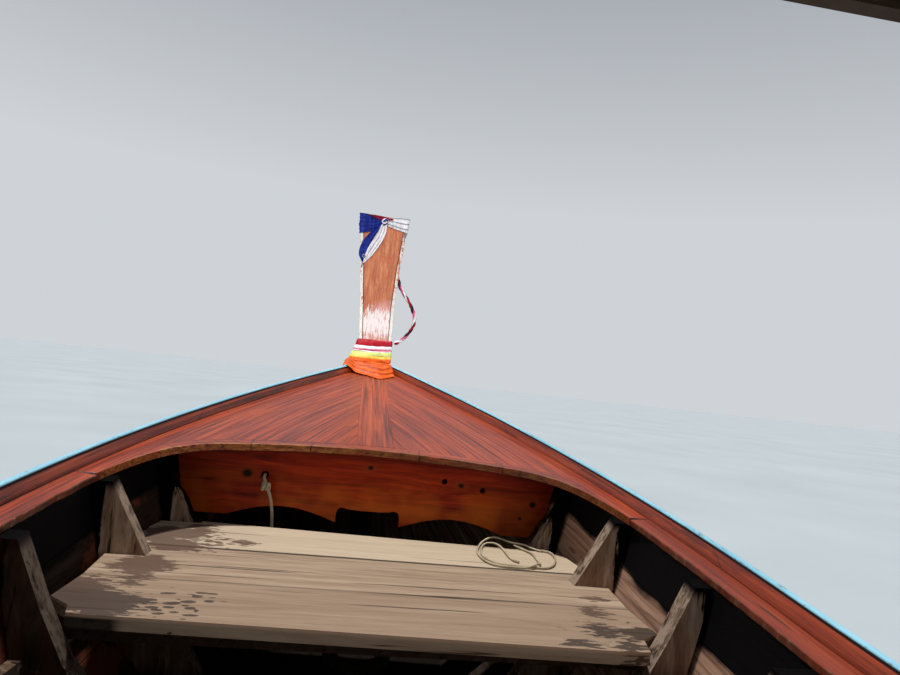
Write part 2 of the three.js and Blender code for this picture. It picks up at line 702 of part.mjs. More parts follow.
// Ropes: centre lines in x, y, z
const LOOSE_ROPE_RADIUS = 4.5;
const LOOSE_ROPE = [
  [3144, -573, 426], [3173, -556, 426], [3232, -550, 426], [3300, -551, 426], [3375, -546, 426],
  [3394, -529, 430], [3394, -504, 430], [3383, -484, 427], [3317, -459, 426], [3221, -445, 426],
  [3150, -453, 426], [3107, -482, 426], [3094, -525, 426], [3084, -629, 426], [3092, -668, 426],
  [3127, -701, 426], [3193, -730, 426], [3268, -748, 426], [3325, -748, 426], [3346, -728, 426],
  [3348, -704, 426], [3380, -682, 426], [3398, -656, 432], [3409, -604, 435], [3436, -555, 443],
  [3439, -527, 444], [3419, -496, 438], [3382, -467, 427], [3265, -433, 426], [3170, -433, 426],
  [3108, -450, 426], [3076, -482, 426], [3068, -530, 426], [3068, -585, 428], [3090, -630, 437],
  [3130, -652, 428], [3244, -662, 426], [3298, -659, 426], [3336, -645, 426], [3388, -611, 429],
];

// The rope from the bulkhead runs down to the sole and into a coil that lies on it
const BULKHEAD_ROPE_RADIUS = 7;
const BULKHEAD_HOLES = [[447, 604, 17], [-316, 641, 13], [-487, 616, 12]];
const COIL = { x: 3365, y: -8, turnRadius: 112, turnsWide: 3, turnsHigh: 3 };
const ROPE_ON_SOLE_Z = SOLE_TOP + BULKHEAD_ROPE_RADIUS + 1.5;
const BULKHEAD_ROPE = [
  [3562, 447, 604], [3545, 447, 604], [3524, 446, 600], [3510, 438, 582], [3504, 424, 556],
  [3503, 408, 516], [3503, 396, 460], [3503, 388, 380], [3503, 380, 280], [3503, 370, 180],
  [3502, 354, 80], [3500, 330, 5], [3500, 292, -42], [3502, 250, ROPE_ON_SOLE_Z],
  [3505, 180, ROPE_ON_SOLE_Z], [3507, 100, ROPE_ON_SOLE_Z], [3505.8, 20, ROPE_ON_SOLE_Z],
];

function addRopes() {
  const loose = rodAlong(LOOSE_ROPE, LOOSE_ROPE_RADIUS, 8, 60);
  add(boat, 'loose_rope', loose, finish(0x9a8a72, 0.95));
  const hanging = rodAlong(BULKHEAD_ROPE, BULKHEAD_ROPE_RADIUS, 8, 36);
  add(boat, 'bulkhead_rope', hanging, finish(0xb7a98c, 0.95));

  const inner = COIL.turnRadius - COIL.turnsWide * BULKHEAD_ROPE_RADIUS;
  const outer = COIL.turnRadius + COIL.turnsWide * BULKHEAD_ROPE_RADIUS;
  const height = 2 * COIL.turnsHigh * BULKHEAD_ROPE_RADIUS;
  const ring = [[inner, 0], [outer, 0], [outer, height], [inner, height], [inner, 0]];
  const coil = new THREE.LatheGeometry(ring.map(([r, h]) => new THREE.Vector2(r, h)), 28);
  coil.rotateX(Math.PI / 2);
  coil.translate(COIL.x, COIL.y, SOLE_TOP + GAP);
  add(boat, 'bulkhead_rope_coil', coil, finish(0xb7a98c, 0.95));
}

// Cloth sashes round the prow post
function addSashes(postRows) {
  const post = solidOf(loft(postRows.map(([z, aft, fore, aftHalf, foreHalf, lean]) => [
    [aft - GAP, lean - aftHalf - GAP, z], [aft - GAP, lean + aftHalf + GAP, z],
    [fore + GAP, lean + foreHalf + GAP, z], [fore + GAP, lean - foreHalf - GAP, z],
  ])));
  const sleeve = (rows) => geometryOf(solidOf(loft(rows.map(([z, aft, fore, starboard, port, foreHalf]) => [
    [aft, -starboard, z], [aft, port, z], [fore, foreHalf, z], [fore, -foreHalf, z],
  ]))).subtract(post));
  add(boat, 'prow_sash_lower', sleeve([
    [1152, 5354, 5683, 128, 198, 74], [1230, 5390, 5715, 122, 172, 72], [1312, 5425, 5755, 118, 158, 72],
  ]), finish(0xb8323c, 0.95));
  add(boat, 'prow_sash_upper', sleeve([
    [2120, 5530, 5940, 142, 236, 118], [2215, 5535, 5946, 150, 246, 122],
  ]), finish(0x3c4f9c, 0.95));
}

// Engine, cradle, tail and propeller, built level about the tilt pivot
function addEngine() {
  const [px, , pz] = PIVOT;
  const armInner = 190;
  const armOuter = 228;
  const trunnion = 20;
  const yokeBlank = join([
    box(px - 60, px + 60, -armOuter, armOuter, PEDESTAL_TOP + 1, PEDESTAL_TOP + 31),
    barZ(PEDESTAL_TOP + 1, PEDESTAL_TOP + 45, 50, px),
    box(px - 45, px + 45, armInner, armOuter, PEDESTAL_TOP + 20, pz + 40),
    box(px - 45, px + 45, -armOuter, -armInner, PEDESTAL_TOP + 20, pz + 40),
  ]);
  const yoke = yokeBlank
    .subtract(solidOf(barZ(PEDESTAL_TOP - 10, PEDESTAL_TOP + 37, 26.5, px)))
    .subtract(solidOf(barY(-300, 300, trunnion + 1.2, px, pz)));
  add(boat, 'swivel_yoke', geometryOf(yoke), finish(0x3b4148, 0.6, 0.7));

  const tilting = new THREE.Group();
  tilting.position.set(...PIVOT);
  tilting.rotation.y = THREE.MathUtils.degToRad(-TAIL_DROP_DEG);
  boat.add(tilting);

  const [railIn, railOut, railHigh] = [120, 155, 26];
  const cradle = join([
    box(-700, 800, railIn, railOut, -railHigh, railHigh),
    box(-700, 800, -railOut, -railIn, -railHigh, railHigh),
    box(-690, -650, -130, 130, -railHigh, railHigh),
    box(750, 790, -130, 130, -railHigh, railHigh),
    barY(railIn + 5, armOuter + 6, trunnion, 0, 0),
    barY(-armOuter - 6, -railIn - 5, trunnion, 0, 0),
  ]);
  add(tilting, 'engine_cradle', geometryOf(cradle), finish(0x3b4148, 0.6, 0.7));

  const block = join([
    box(40, 600, -115, 115, 60, 330),
    box(80, 560, -90, 90, -110, 62),
    box(110, 170, -150, 150, railHigh + GAP, 70),
    box(480, 540, -150, 150, railHigh + GAP, 70),
  ]);
  add(tilting, 'engine_block', geometryOf(block), finish(0x5c5a57, 0.7, 0.5));
  const cover = shapeOf([[-85, 330 + GAP], [85, 330 + GAP], [85, 375], [60, 400], [-60, 400], [-85, 375]]);
  add(tilting, 'engine_head_cover', plateAcross(cover, 60, 580), finish(0x9c2f24, 0.5, 0.3));

  const shaftTurn = [[600 + GAP, 75, SHAFT_Z], [600 + GAP, 62, 265]];
  const drive = join([
    ...shaftTurn.map(([x, radius, z]) => barX(x, x + 45, radius, z, 0, 20)),
    box(612, 632, -58, 58, SHAFT_Z, 265),
    barX(540, 645, 48, 200, -165, 16),
    box(612, 632, -165, 0, 180, 215),
  ]).subtract(solidOf(box(500, 600 + GAP, -116, 116, 0, 340)));
  add(tilting, 'belt_drive_and_alternator', geometryOf(drive), finish(0x2b2b2d, 0.6, 0.5));

  const exhaust = rodAlong([
    [300, 115.5, 290], [300, 150, 290], [300, 190, 300], [290, 215, 350], [280, 215, 480], [270, 215, 640],
  ], 24, 10, 18);
  add(tilting, 'exhaust_pipe', exhaust, finish(0x6b3f2a, 0.9, 0.3));

  const profile = [[0, 0], [112, 0], [112, 60], [60, 190], [38, 215], [0, 215]];
  const bell = new THREE.LatheGeometry(profile.map(([r, h]) => new THREE.Vector2(r, h)), 20);
  bell.rotateZ(Math.PI / 2);
  bell.translate(40 - GAP, 0, SHAFT_Z);
  add(tilting, 'clutch_housing', bare(bell), finish(0x77756f, 0.6, 0.6));

  const [tubeFrom, tubeTo, tubeRadius, boreRadius] = [-176, -3600, 38, 32];
  const tubeProfile = [
    [boreRadius, 0], [tubeRadius, 0], [tubeRadius, tubeFrom - tubeTo], [boreRadius, tubeFrom - tubeTo],
    [boreRadius, 0],
  ];
  const tube = new THREE.LatheGeometry(tubeProfile.map(([r, h]) => new THREE.Vector2(r, h)), 16);
  tube.rotateZ(Math.PI / 2);
  tube.translate(tubeFrom, 0, SHAFT_Z);
  const bore = solidOf(barX(tubeTo - 10, tubeFrom + 10, boreRadius, SHAFT_Z, 0, 16));
  const skegShape = shapeOf([[-3180, SHAFT_Z], [-3300, -60], [-3560, -120], [-3590, -100], [-3560, SHAFT_Z]]);
  const saddle = box(-690, -650, -30, 30, railHigh + GAP, SHAFT_Z);
  const fitted = solidOf(tube)
    .add(solidOf(plateLengthwise(skegShape, -4, 4)))
    .add(solidOf(saddle))
    .subtract(bore)
    .subtract(solidOf(bare(bell)));
  add(tilting, 'tail_tube', geometryOf(fitted), finish(0x70757a, 0.5, 0.8));

  // Propeller: hub, shaft stub in the tube, and three twisted blades
  const hubX = -3665;
  const blades = [];
  for (let i = 0; i < 3; i++) {
    const rings = [[20, 46, 0.95], [70, 60, 0.75], [120, 58, 0.55], [160, 34, 0.42]].map(([radius, chord, pitch]) => {
      const [across, along] = [Math.cos(pitch) * chord * 0.5, Math.sin(pitch) * chord * 0.5];
      const [nx, ny] = [Math.cos(pitch) * 2.5, -Math.sin(pitch) * 2.5];
      return [
        [-along - nx, -across - ny, radius], [along - nx, across - ny, radius],
        [along + nx, across + ny, radius], [-along + nx, -across + ny, radius],
      ];
    });
    const blade = loft(rings);
    blade.rotateX((2 * Math.PI * i) / 3);
    blade.translate(hubX, 0, SHAFT_Z);
    blades.push(blade);
  }
  const propeller = join([
    barX(hubX - 45, hubX + 45, 34, SHAFT_Z, 0, 18),
    barX(hubX, tubeTo + 300, 20, SHAFT_Z, 0, 12),
    ...blades,
  ]);
  add(tilting, 'propeller', geometryOf(propeller), finish(0xb08a4a, 0.4, 0.9));

  const tiller = rodAlong([
    [790.5, 0, 0], [850, 0, 0], [920, 0, 2], [1060, 0, 0], [1250, 0, -45], [1480, 0, -140], [1720, 0, -260],
  ], 17, 10, 20);
  add(tilting, 'tiller', tiller, finish(0x8d8f90, 0.5, 0.7));
}

const postRows = addBackbone();
addPlanking();
addEdges();
addFrames();
addForedeck();
addPlatform();
addBenchesAndAftDeck();
addCanopy();
addRopes();
addSashes(postRows);
addEngine();

export default boat;
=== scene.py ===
"""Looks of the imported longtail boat, in metres. +X forward, +Y to port, +Z up from the waterline."""

import math

import bmesh
import bpy
from mathutils import Matrix, Vector, noise


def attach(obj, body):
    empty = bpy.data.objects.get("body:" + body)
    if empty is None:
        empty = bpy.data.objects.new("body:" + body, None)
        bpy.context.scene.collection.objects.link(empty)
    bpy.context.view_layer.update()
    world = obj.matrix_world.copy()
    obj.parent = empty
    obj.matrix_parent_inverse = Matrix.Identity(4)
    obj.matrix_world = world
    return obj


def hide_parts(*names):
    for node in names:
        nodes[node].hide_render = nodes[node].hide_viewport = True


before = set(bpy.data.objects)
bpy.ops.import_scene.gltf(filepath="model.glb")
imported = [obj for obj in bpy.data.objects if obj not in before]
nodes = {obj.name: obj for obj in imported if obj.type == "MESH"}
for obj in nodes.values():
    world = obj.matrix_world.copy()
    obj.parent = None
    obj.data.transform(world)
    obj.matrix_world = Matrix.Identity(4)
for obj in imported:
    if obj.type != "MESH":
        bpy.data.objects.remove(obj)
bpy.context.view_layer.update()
SIDES = (("port", 1), ("starboard", -1))

# Hull form, the same as the part's
STERN_X, BOW_X = -5.4, 5.38
MAX_RAIL_HALF, STERN_RAIL_HALF = 1.053, 0.533
WIDEST_X, STEM_HEAD_X = 2.184, 5.541
LOWEST_SHEER, LOWEST_SHEER_X = 0.5015, -0.304
SHEER_RISE_FORE, SHEER_RISE_AFT = 0.01983, 0.007
HULL_BOTTOM, FOREFOOT_X, STEM_HEAD_Z, STEM_POWER = -0.3, 2.8, 1.17, 2.6
STERN_RISE, STERN_RISE_FROM = 0.27, -3.6
VEE_FROM = 3.6
PLANK = 0.028
KEEL_HALF = 0.0453
SHEER_DROP = 0.062
OUTWALE_DEPTH = 0.09
BOARD_TOP_DROP, BOARD_BOTTOM_DROP = 0.034, 0.0617
RAIL_WIDTH, COVERING_INNER = 0.02, 0.039
RAIL_CROWN, RAIL_PAINT_FOOT, COVERING_DROP = 0.008, 0.003, 0.004
WASHBOARD_OUTER, WASHBOARD_INNER, WASHBOARD_TILT = 0.045, 0.115, 0.006
DECK_CORNER_X, DECK_TOP_DROP = 2.9, 0.036
RIB_A_X, RIB_PITCH = 2.943, 0.498
SOLE_TOP = -0.06
EAVES_HALF, EAVES_Z, RAFTER_TOP = 0.985, 1.86, 1.938
POST_MARGIN, POST_GROOVE = 0.022, 0.006

# Prow post: height, aft face, fore edge, half-width aft, half-width fore, how far it leans to port
POST_ROWS = [
    (0.93, 5.381, 5.462, 0.084, 0.034, 0.0), (1.085, 5.383, 5.58, 0.1, 0.036, 0.007),
    (1.18, 5.405, 5.65, 0.109, 0.038, 0.013), (1.32, 5.455, 5.74, 0.117, 0.04, 0.02),
    (1.56, 5.5, 5.83, 0.125, 0.044, 0.033), (1.83, 5.525, 5.89, 0.144, 0.048, 0.042),
    (2.23, 5.56, 5.93, 0.18, 0.056, 0.05),
]


def clamp01(value):
    return min(1.0, max(0.0, value))


def smooth(value):
    share = clamp01(value)
    return share * share * (3 - 2 * share)


def spread(a, b, steps):
    """Evenly spaced values from a to b, with both ends."""
    return [a + (b - a) * i / steps for i in range(steps + 1)]


def angles(count, ends=0):
    """Evenly spaced angles of a full turn. ends adds that many of the next turn."""
    return [2 * math.pi * i / count for i in range(count + ends)]


def wobble(x, y, z):
    """Smooth noise between about -1 and 1, the same for a place each time."""
    return noise.noise(Vector((x, y, z)))


def rail_half(x):
    """Half-breadth at the outside of the rail."""
    if x > WIDEST_X:
        return MAX_RAIL_HALF * (1 - ((x - WIDEST_X) / (STEM_HEAD_X - WIDEST_X)) ** 2)
    share = (WIDEST_X - x) / (WIDEST_X - STERN_X)
    return MAX_RAIL_HALF - (MAX_RAIL_HALF - STERN_RAIL_HALF) * share ** 3


def rail_top(x):
    rise = SHEER_RISE_FORE if x > LOWEST_SHEER_X else SHEER_RISE_AFT
    return LOWEST_SHEER + rise * (x - LOWEST_SHEER_X) ** 2


def stern_share(x):
    """0 ahead of where the bottom rises towards the stern, and 1 at the stern."""
    return clamp01((STERN_RISE_FROM - x) / (STERN_RISE_FROM - STERN_X))


def keel_line(x):
    if x > FOREFOOT_X:
        share = (x - FOREFOOT_X) / (STEM_HEAD_X - FOREFOOT_X)
        return HULL_BOTTOM + (STEM_HEAD_Z - HULL_BOTTOM) * share ** STEM_POWER
    return HULL_BOTTOM + STERN_RISE * stern_share(x) ** 2


def overhang(x):
    """How far the rail stands out from the planking: less under the foredeck than amidships."""
    return 0.085 - 0.06 * clamp01((x - 2.75) / 0.6) - 0.013 * clamp01((x - 3.35) / (BOW_X - 3.35))


def hull_half(x):
    return rail_half(x) - overhang(x)


def hull_side(x, step):
    """Outside of the planking at a share of the height from keel to sheer, as (y, z)."""
    vee = clamp01((x - VEE_FROM) / (BOW_X - VEE_FROM)) ** 0.8
    roundness = 2.4 - 1.3 * vee - 0.5 * stern_share(x)
    flare = 1.6 - 0.55 * vee
    low = keel_line(x)
    high = rail_top(x) - SHEER_DROP
    out = (1 - (1 - step) ** flare) ** (1 / roundness)
    return KEEL_HALF + (hull_half(x) - KEEL_HALF) * out, low + (high - low) * step


# Helpers for colours, materials and meshes

def paint(code):
    """Linear colour from a six-digit colour code."""
    parts = [int(code[i:i + 2], 16) / 255 for i in (0, 2, 4)]
    return [c / 12.92 if c <= 0.04045 else ((c + 0.055) / 1.055) ** 2.4 for c in parts] + [1.0]


class Look:
    """A node material under construction. base is the colour laid so far, and most steps return an output."""

    def __init__(self, name, roughness, metallic=0.0, coat=0.0, coat_roughness=0.1, sheen=0.0, shine=0.5):
        self.material = bpy.data.materials.new(name)
        self.material.use_nodes = True
        self.tree = self.material.node_tree
        self.shader = self.tree.nodes["Principled BSDF"]
        self.normal = None
        self.base = None
        constants = {
            "Roughness": roughness, "Metallic": metallic, "Coat Weight": coat,
            "Coat Roughness": coat_roughness, "Sheen Weight": sheen, "Specular IOR Level": shine,
        }
        for socket, value in constants.items():
            self.shader.inputs[socket].default_value = value

    def node(self, kind, settings=None, **inputs):
        made = self.tree.nodes.new("ShaderNode" + kind)
        for key, value in (settings or {}).items():
            setattr(made, key, value)
        for key, value in inputs.items():
            self.feed(made.inputs[key.replace("_", " ")], value)
        return made

    def feed(self, socket, value):
        if isinstance(value, bpy.types.NodeSocket):
            self.tree.links.new(value, socket)
        elif isinstance(value, str):
            socket.default_value = paint(value)
        else:
            socket.default_value = value

    def place(self, scale=(1, 1, 1), uv=False):
        """Where a point of the surface is, in metres, stretched by scale."""
        source = self.node("TexCoord").outputs["UV" if uv else "Object"]
        return self.node("Mapping", Vector=source, Scale=scale).outputs["Vector"]

    def axis(self, letter, uv=False):
        return self.node("SeparateXYZ", Vector=self.place(uv=uv)).outputs[letter]

    def noise(self, where, scale=1.0, detail=4.0, roughness=0.6, distortion=0.0):
        settings = {"Scale": scale, "Detail": detail, "Roughness": roughness, "Distortion": distortion}
        return self.node("TexNoise", Vector=where, **settings).outputs["Fac"]

    def grain(self, stretch, detail=4, roughness=0.6, distortion=0.0, uv=False):
        """Noise that is stretch times finer along each axis."""
        return self.noise(self.place(stretch, uv), 1.0, detail, roughness, distortion)

    def spots(self, stretch, low, high, detail=4, roughness=0.7, uv=False):
        """Ragged spots: 0 where the grain lies below low, and 1 above high."""
        return self.band(self.grain(stretch, detail, roughness, uv=uv), low, high)

    def wander(self, stretch, reach):
        """Grain about zero, up to half of reach either way."""
        return self.times(self.plus(self.grain(stretch, 3), -0.5), reach)

    def rings(self, where, scale, distortion, direction):
        settings = {"wave_type": "BANDS", "bands_direction": direction, "wave_profile": "SAW"}
        made = self.node("TexWave", settings, Vector=where, Scale=scale, Distortion=distortion, Detail=3.0)
        return made.outputs["Fac"]

    def math(self, operation, a, b=0.0):
        made = self.node("Math", {"operation": operation})
        self.feed(made.inputs[0], a)
        self.feed(made.inputs[1], b)
        return made.outputs[0]

    def plus(self, a, b):
        return self.math("ADD", a, b)

    def times(self, a, b):
        return self.math("MULTIPLY", a, b)

    def all_of(self, *shares):
        """The product of several shares."""
        made = shares[0]
        for share in shares[1:]:
            made = self.times(made, share)
        return made

    def rest_of(self, share):
        return self.math("SUBTRACT", 1.0, share)

    def size_of(self, value):
        return self.math("ABSOLUTE", value)

    def band(self, value, low, high):
        """0 below low, 1 above high, and smooth between. high may be the lower one."""
        settings = {"interpolation_type": "SMOOTHSTEP"}
        return self.node("MapRange", settings, Value=value, From_Min=low, From_Max=high).outputs["Result"]

    def line(self, value, place, reach, core):
        """1 within core of a place, and 0 beyond reach."""
        return self.band(self.size_of(self.plus(value, -place)), reach, core)

    def vector(self, operation, a, b=(0, 0, 0), output="Vector"):
        made = self.node("VectorMath", {"operation": operation})
        self.feed(made.inputs[0], a)
        self.feed(made.inputs[1], b)
        return made.outputs[output]

    def under_sheer(self):
        """How far a point of the surface lies below the top of the rail."""
        from_lowest = self.plus(self.axis("X"), -LOWEST_SHEER_X)
        fore, aft = self.math("MAXIMUM", from_lowest, 0.0), self.math("MINIMUM", from_lowest, 0.0)
        rise = self.plus(self.all_of(fore, fore, SHEER_RISE_FORE), self.all_of(aft, aft, SHEER_RISE_AFT))
        return self.math("SUBTRACT", self.plus(rise, LOWEST_SHEER), self.axis("Z"))

    def inside_rail(self):
        """How far a point of the surface lies inboard of the outside of the rail."""
        from_widest = self.plus(self.axis("X"), -WIDEST_X)
        fore = self.times(self.math("MAXIMUM", from_widest, 0.0), 1 / (STEM_HEAD_X - WIDEST_X))
        aft = self.times(self.math("MINIMUM", from_widest, 0.0), 1 / (WIDEST_X - STERN_X))
        narrowing = self.all_of(fore, fore, MAX_RAIL_HALF)
        lessening = self.all_of(aft, aft, aft, STERN_RAIL_HALF - MAX_RAIL_HALF)
        half = self.math("SUBTRACT", MAX_RAIL_HALF, self.plus(narrowing, lessening))
        return self.math("SUBTRACT", half, self.size_of(self.axis("Y")))

    def facing(self, letter):
        """How far the surface faces along an axis, from -1 to 1."""
        return self.node("SeparateXYZ", Vector=self.node("NewGeometry").outputs["Normal"]).outputs[letter]

    def to_starboard(self, share):
        """0 to port, rising amidships to a share to starboard."""
        return self.times(self.band(self.axis("Y"), 0.3, -0.3), share)

    def pushed(self, scale, reach):
        """Where a point of the surface is, moved about by noise."""
        settings = {"Scale": 1.0, "Detail": 4.0, "Roughness": 0.65}
        cloud = self.node("TexNoise", Vector=self.place(scale), **settings).outputs["Color"]
        shift = self.vector("MULTIPLY", self.vector("SUBTRACT", cloud, (0.5, 0.5, 0.5)), reach)
        return self.vector("ADD", self.place(), shift)

    def near(self, centre, radius, stretch=(1, 1, 1), where=None):
        """1 at a point and 0 outside a radius round it."""
        offset = self.vector("SUBTRACT", self.place() if where is None else where, centre)
        away = self.vector("LENGTH", self.vector("MULTIPLY", offset, stretch), output="Value")
        return self.rest_of(self.band(away, radius * 0.35, radius))

    def ramp(self, value, *stops):
        made = self.node("ValToRGB", Fac=value)
        elements = made.color_ramp.elements
        while len(elements) < len(stops):
            elements.new(0.5)
        for element, (position, code) in zip(elements, stops):
            element.position = position
            element.color = paint(code)
        return made.outputs["Color"]

    def mix(self, share, under, over, how="MIX"):
        made = self.node("Mix", {"data_type": "RGBA", "blend_type": how})
        for socket, value in zip((0, 6, 7), (share, under, over)):
            self.feed(made.inputs[socket], value)
        return made.outputs[2]

    def cover(self, share, colour, strength=1.0, how="MIX"):
        """Lays a colour over what is there, as far as share and strength say."""
        if strength != 1.0:
            share = self.times(share, strength)
        self.base = self.mix(share, self.base, colour, how)

    def paint_light_aft(self, share):
        """Painted light: lighter where the surface faces aft."""
        aft = self.times(self.band(self.facing("X"), -0.6, -0.9), share)
        self.cover(aft, self.base, how="SCREEN")
        self.cover(aft, self.base, how="SCREEN")

    def paint_shade_low_in_bow(self):
        """Painted shade: near black low down in the bow, under the platform and the foredeck."""
        low = self.times(self.band(self.axis("Z"), 0.12, 0.0), self.band(self.axis("X"), 2.3, 2.8))
        self.cover(low, "0b0908", 0.94)

    def done(self):
        """The shader takes the colour laid so far."""
        self.feed(self.shader.inputs["Base Color"], self.base)
        return self

    def rough(self, value, low, high):
        scaled = self.node("MapRange", Value=value, To_Min=low, To_Max=high)
        self.feed(self.shader.inputs["Roughness"], scaled.outputs["Result"])
        return self

    def bump(self, height, depth):
        """Raises the surface by height, whose white stands depth metres above its black."""
        made = self.node("Bump", Height=height, Distance=depth, Strength=1.0)
        if self.normal is not None:
            self.feed(made.inputs["Normal"], self.normal)
        self.normal = made.outputs["Normal"]
        self.feed(self.shader.inputs["Normal"], self.normal)
        return self


def piece(name, points, faces, looks, body="hull", slot=None, replaces=(), uvs=None, marks=None):
    """A mesh that rides on a body. uvs holds one pair a point, and marks the material index of each face."""
    mesh = bpy.data.meshes.new(name)
    mesh.from_pydata([tuple(p) for p in points], [], faces)
    for look in looks:
        mesh.materials.append(look.material)
    if marks:
        mesh.polygons.foreach_set("material_index", marks)
    if uvs:
        layer = mesh.uv_layers.new(name="grain")
        for loop in mesh.loops:
            layer.data[loop.index].uv = uvs[loop.vertex_index]
    mesh.polygons.foreach_set("use_smooth", [True] * len(mesh.polygons))
    mesh.update()
    made = bpy.data.objects.new(name, mesh)
    bpy.context.scene.collection.objects.link(made)
    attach(made, body)
    if replaces:
        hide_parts(*replaces)
    return made


def round_edges(made, width, angle=35):
    bevel = made.modifiers.new("round_edges", "BEVEL")
    bevel.width = width
    bevel.segments = 2
    bevel.limit_method = "ANGLE"
    bevel.angle_limit = math.radians(angle)
    bevel.harden_normals = False
    bevel.miter_outer = "MITER_ARC"


def sharpen(made, angle=40):
    """Smooth faces that meet at less than angle, and sharp edges elsewhere."""
    made.data.set_sharp_from_angle(angle=math.radians(angle))


def turn_outward(made):
    """Every face looks out of the closed mesh."""
    work = bmesh.new()
    work.from_mesh(made.data)
    bmesh.ops.recalc_face_normals(work, faces=work.faces)
    work.to_mesh(made.data)
    work.free()


def thicken(made, thickness):
    sheet = made.modifiers.new("cloth", "SOLIDIFY")
    sheet.thickness = thickness
    sheet.offset = 0


def joined(parts):
    """Points and faces of several meshes as one."""
    points, faces = [], []
    for more_points, more_faces in parts:
        start = len(points)
        points += more_points
        faces += [[i + start for i in face] for face in more_faces]
    return points, faces


def loft(rings, closed=True, caps=True):
    """Points and faces through rings of points."""
    count = len(rings[0])
    points = [p for ring in rings for p in ring]
    faces = []
    for i in range(len(rings) - 1):
        for j in range(count if closed else count - 1):
            k = (j + 1) % count
            faces.append([i * count + j, i * count + k, (i + 1) * count + k, (i + 1) * count + j])
    if caps and closed:
        last = (len(rings) - 1) * count
        faces.append(list(range(count))[::-1])
        faces.append([last + j for j in range(count)])
    return points, faces


def flow(points, spacing):
    """A smooth curve through points, as points that far apart."""
    line = [Vector(p) for p in points]
    padded = [2 * line[0] - line[1], *line, 2 * line[-1] - line[-2]]
    fine = []
    for a, b, c, d in zip(padded, padded[1:], padded[2:], padded[3:]):
        steps = max(2, int((c - b).length / spacing * 2))
        for i in range(steps):
            t = i / steps
            fine.append(0.5 * (2 * b + (c - a) * t + (2 * a - 5 * b + 4 * c - d) * t ** 2
                               + (3 * b - a - 3 * c + d) * t ** 3))
    fine.append(line[-1])
    even, gone, wanted = [fine[0]], 0.0, spacing
    for a, b in zip(fine, fine[1:]):
        step = (b - a).length
        while step > 0 and gone + step >= wanted:
            even.append(a.lerp(b, (wanted - gone) / step))
            wanted += spacing
        gone += step
    if (even[-1] - fine[-1]).length > spacing * 0.3:
        even.append(fine[-1])
    else:
        even[-1] = fine[-1]
    return even


def at_share(line, share):
    """The point of a line nearest to a share of its length."""
    return line[round(share * (len(line) - 1))]


def lengths_along(line):
    """How long a line is up to each of its points."""
    gone = [0.0]
    for a, b in zip(line, line[1:]):
        gone.append(gone[-1] + (b - a).length)
    return gone


def frames_along(path):
    """Two directions across a path at each point, carried along it without twist."""
    tangents = [(b - a).normalized() for a, b in zip([path[0], *path[:-1]], [*path[1:], path[-1]])]
    tangents[0] = (path[1] - path[0]).normalized()
    start = Vector((0, 0, 1)) if abs(tangents[0].z) < 0.9 else Vector((1, 0, 0))
    side = tangents[0].cross(start).normalized()
    made = []
    for tangent in tangents:
        side = (side - tangent * side.dot(tangent)).normalized()
        made.append((side, tangent.cross(side)))
    return made


def tube(path, radius, sides=10, strands=0, lay=0.0):
    """A tube along a path, with twisted strands where asked. radius may be a function of the share done."""
    rings = []
    gone = lengths_along(path)
    for i, (centre, (side, up)) in enumerate(zip(path, frames_along(path))):
        size = radius(i / (len(path) - 1)) if callable(radius) else radius
        ring = []
        for angle in angles(sides):
            reach = size
            if strands:
                turned = angle - 2 * math.pi * gone[i] / lay
                reach = size * (0.88 + 0.12 * abs(math.cos(strands * turned / 2)))
            ring.append(centre + reach * (math.cos(angle) * side + math.sin(angle) * up))
        rings.append(ring)
    return loft(rings)


def circle(centre, radius, plane, count, ends=0):
    """Points round a centre, in the plane of two axes such as "yz"."""
    first, second = ("xyz".index(letter) for letter in plane)
    made = []
    for angle in angles(count, ends):
        point = list(centre)
        point[first] += radius * math.cos(angle)
        point[second] += radius * math.sin(angle)
        made.append(Vector(point))
    return made


def rod(a, b, radius, sides=14, steps=4):
    """A straight tube between two points."""
    return tube([Vector(a).lerp(Vector(b), i / steps) for i in range(steps + 1)], radius, sides)


def block(low, high):
    (x0, y0, z0), (x1, y1, z1) = low, high
    points = [Vector((x, y, z)) for x in (x0, x1) for y in (y0, y1) for z in (z0, z1)]
    faces = [[0, 1, 3, 2], [4, 6, 7, 5], [0, 4, 5, 1], [2, 3, 7, 6], [0, 2, 6, 4], [1, 5, 7, 3]]
    return points, faces


def disc(centre, axis, radius, height, sides=12):
    """A short cylinder standing on a point."""
    foot = Vector(centre)
    return tube([foot, foot + Vector(axis).normalized() * height], radius, sides)


def moved(shape, matrix):
    points, faces = shape
    return [matrix @ p for p in points], faces


# Camera at the photograph's viewing angle

EYE = Vector((0.6, 0.105, 1.081))
YAW_TO_STARBOARD, PITCH_UP, ROLL_RIGHT = math.radians(7.27), math.radians(3.63), math.radians(6.13)
LENS_MM, SENSOR_MM = 27.04, 36.0


def add_camera():
    ahead = Vector((math.cos(YAW_TO_STARBOARD), -math.sin(YAW_TO_STARBOARD), 0))
    right = Vector((-math.sin(YAW_TO_STARBOARD), -math.cos(YAW_TO_STARBOARD), 0))
    level = right.cross(ahead)
    look = ahead * math.cos(PITCH_UP) + level * math.sin(PITCH_UP)
    above = level * math.cos(PITCH_UP) - ahead * math.sin(PITCH_UP)
    across = right * math.cos(ROLL_RIGHT) + above * math.sin(ROLL_RIGHT)
    upright = above * math.cos(ROLL_RIGHT) - right * math.sin(ROLL_RIGHT)
    data = bpy.data.cameras.new("camera")
    data.lens = LENS_MM
    data.sensor_width = SENSOR_MM
    data.clip_start = 0.05
    data.clip_end = 500
    camera = bpy.data.objects.new("camera", data)
    turn = Matrix((across, upright, -look)).transposed().to_4x4()
    camera.matrix_world = Matrix.Translation(EYE) @ turn
    bpy.context.scene.collection.objects.link(camera)
    bpy.context.scene.camera = camera


add_camera()


# Ropes

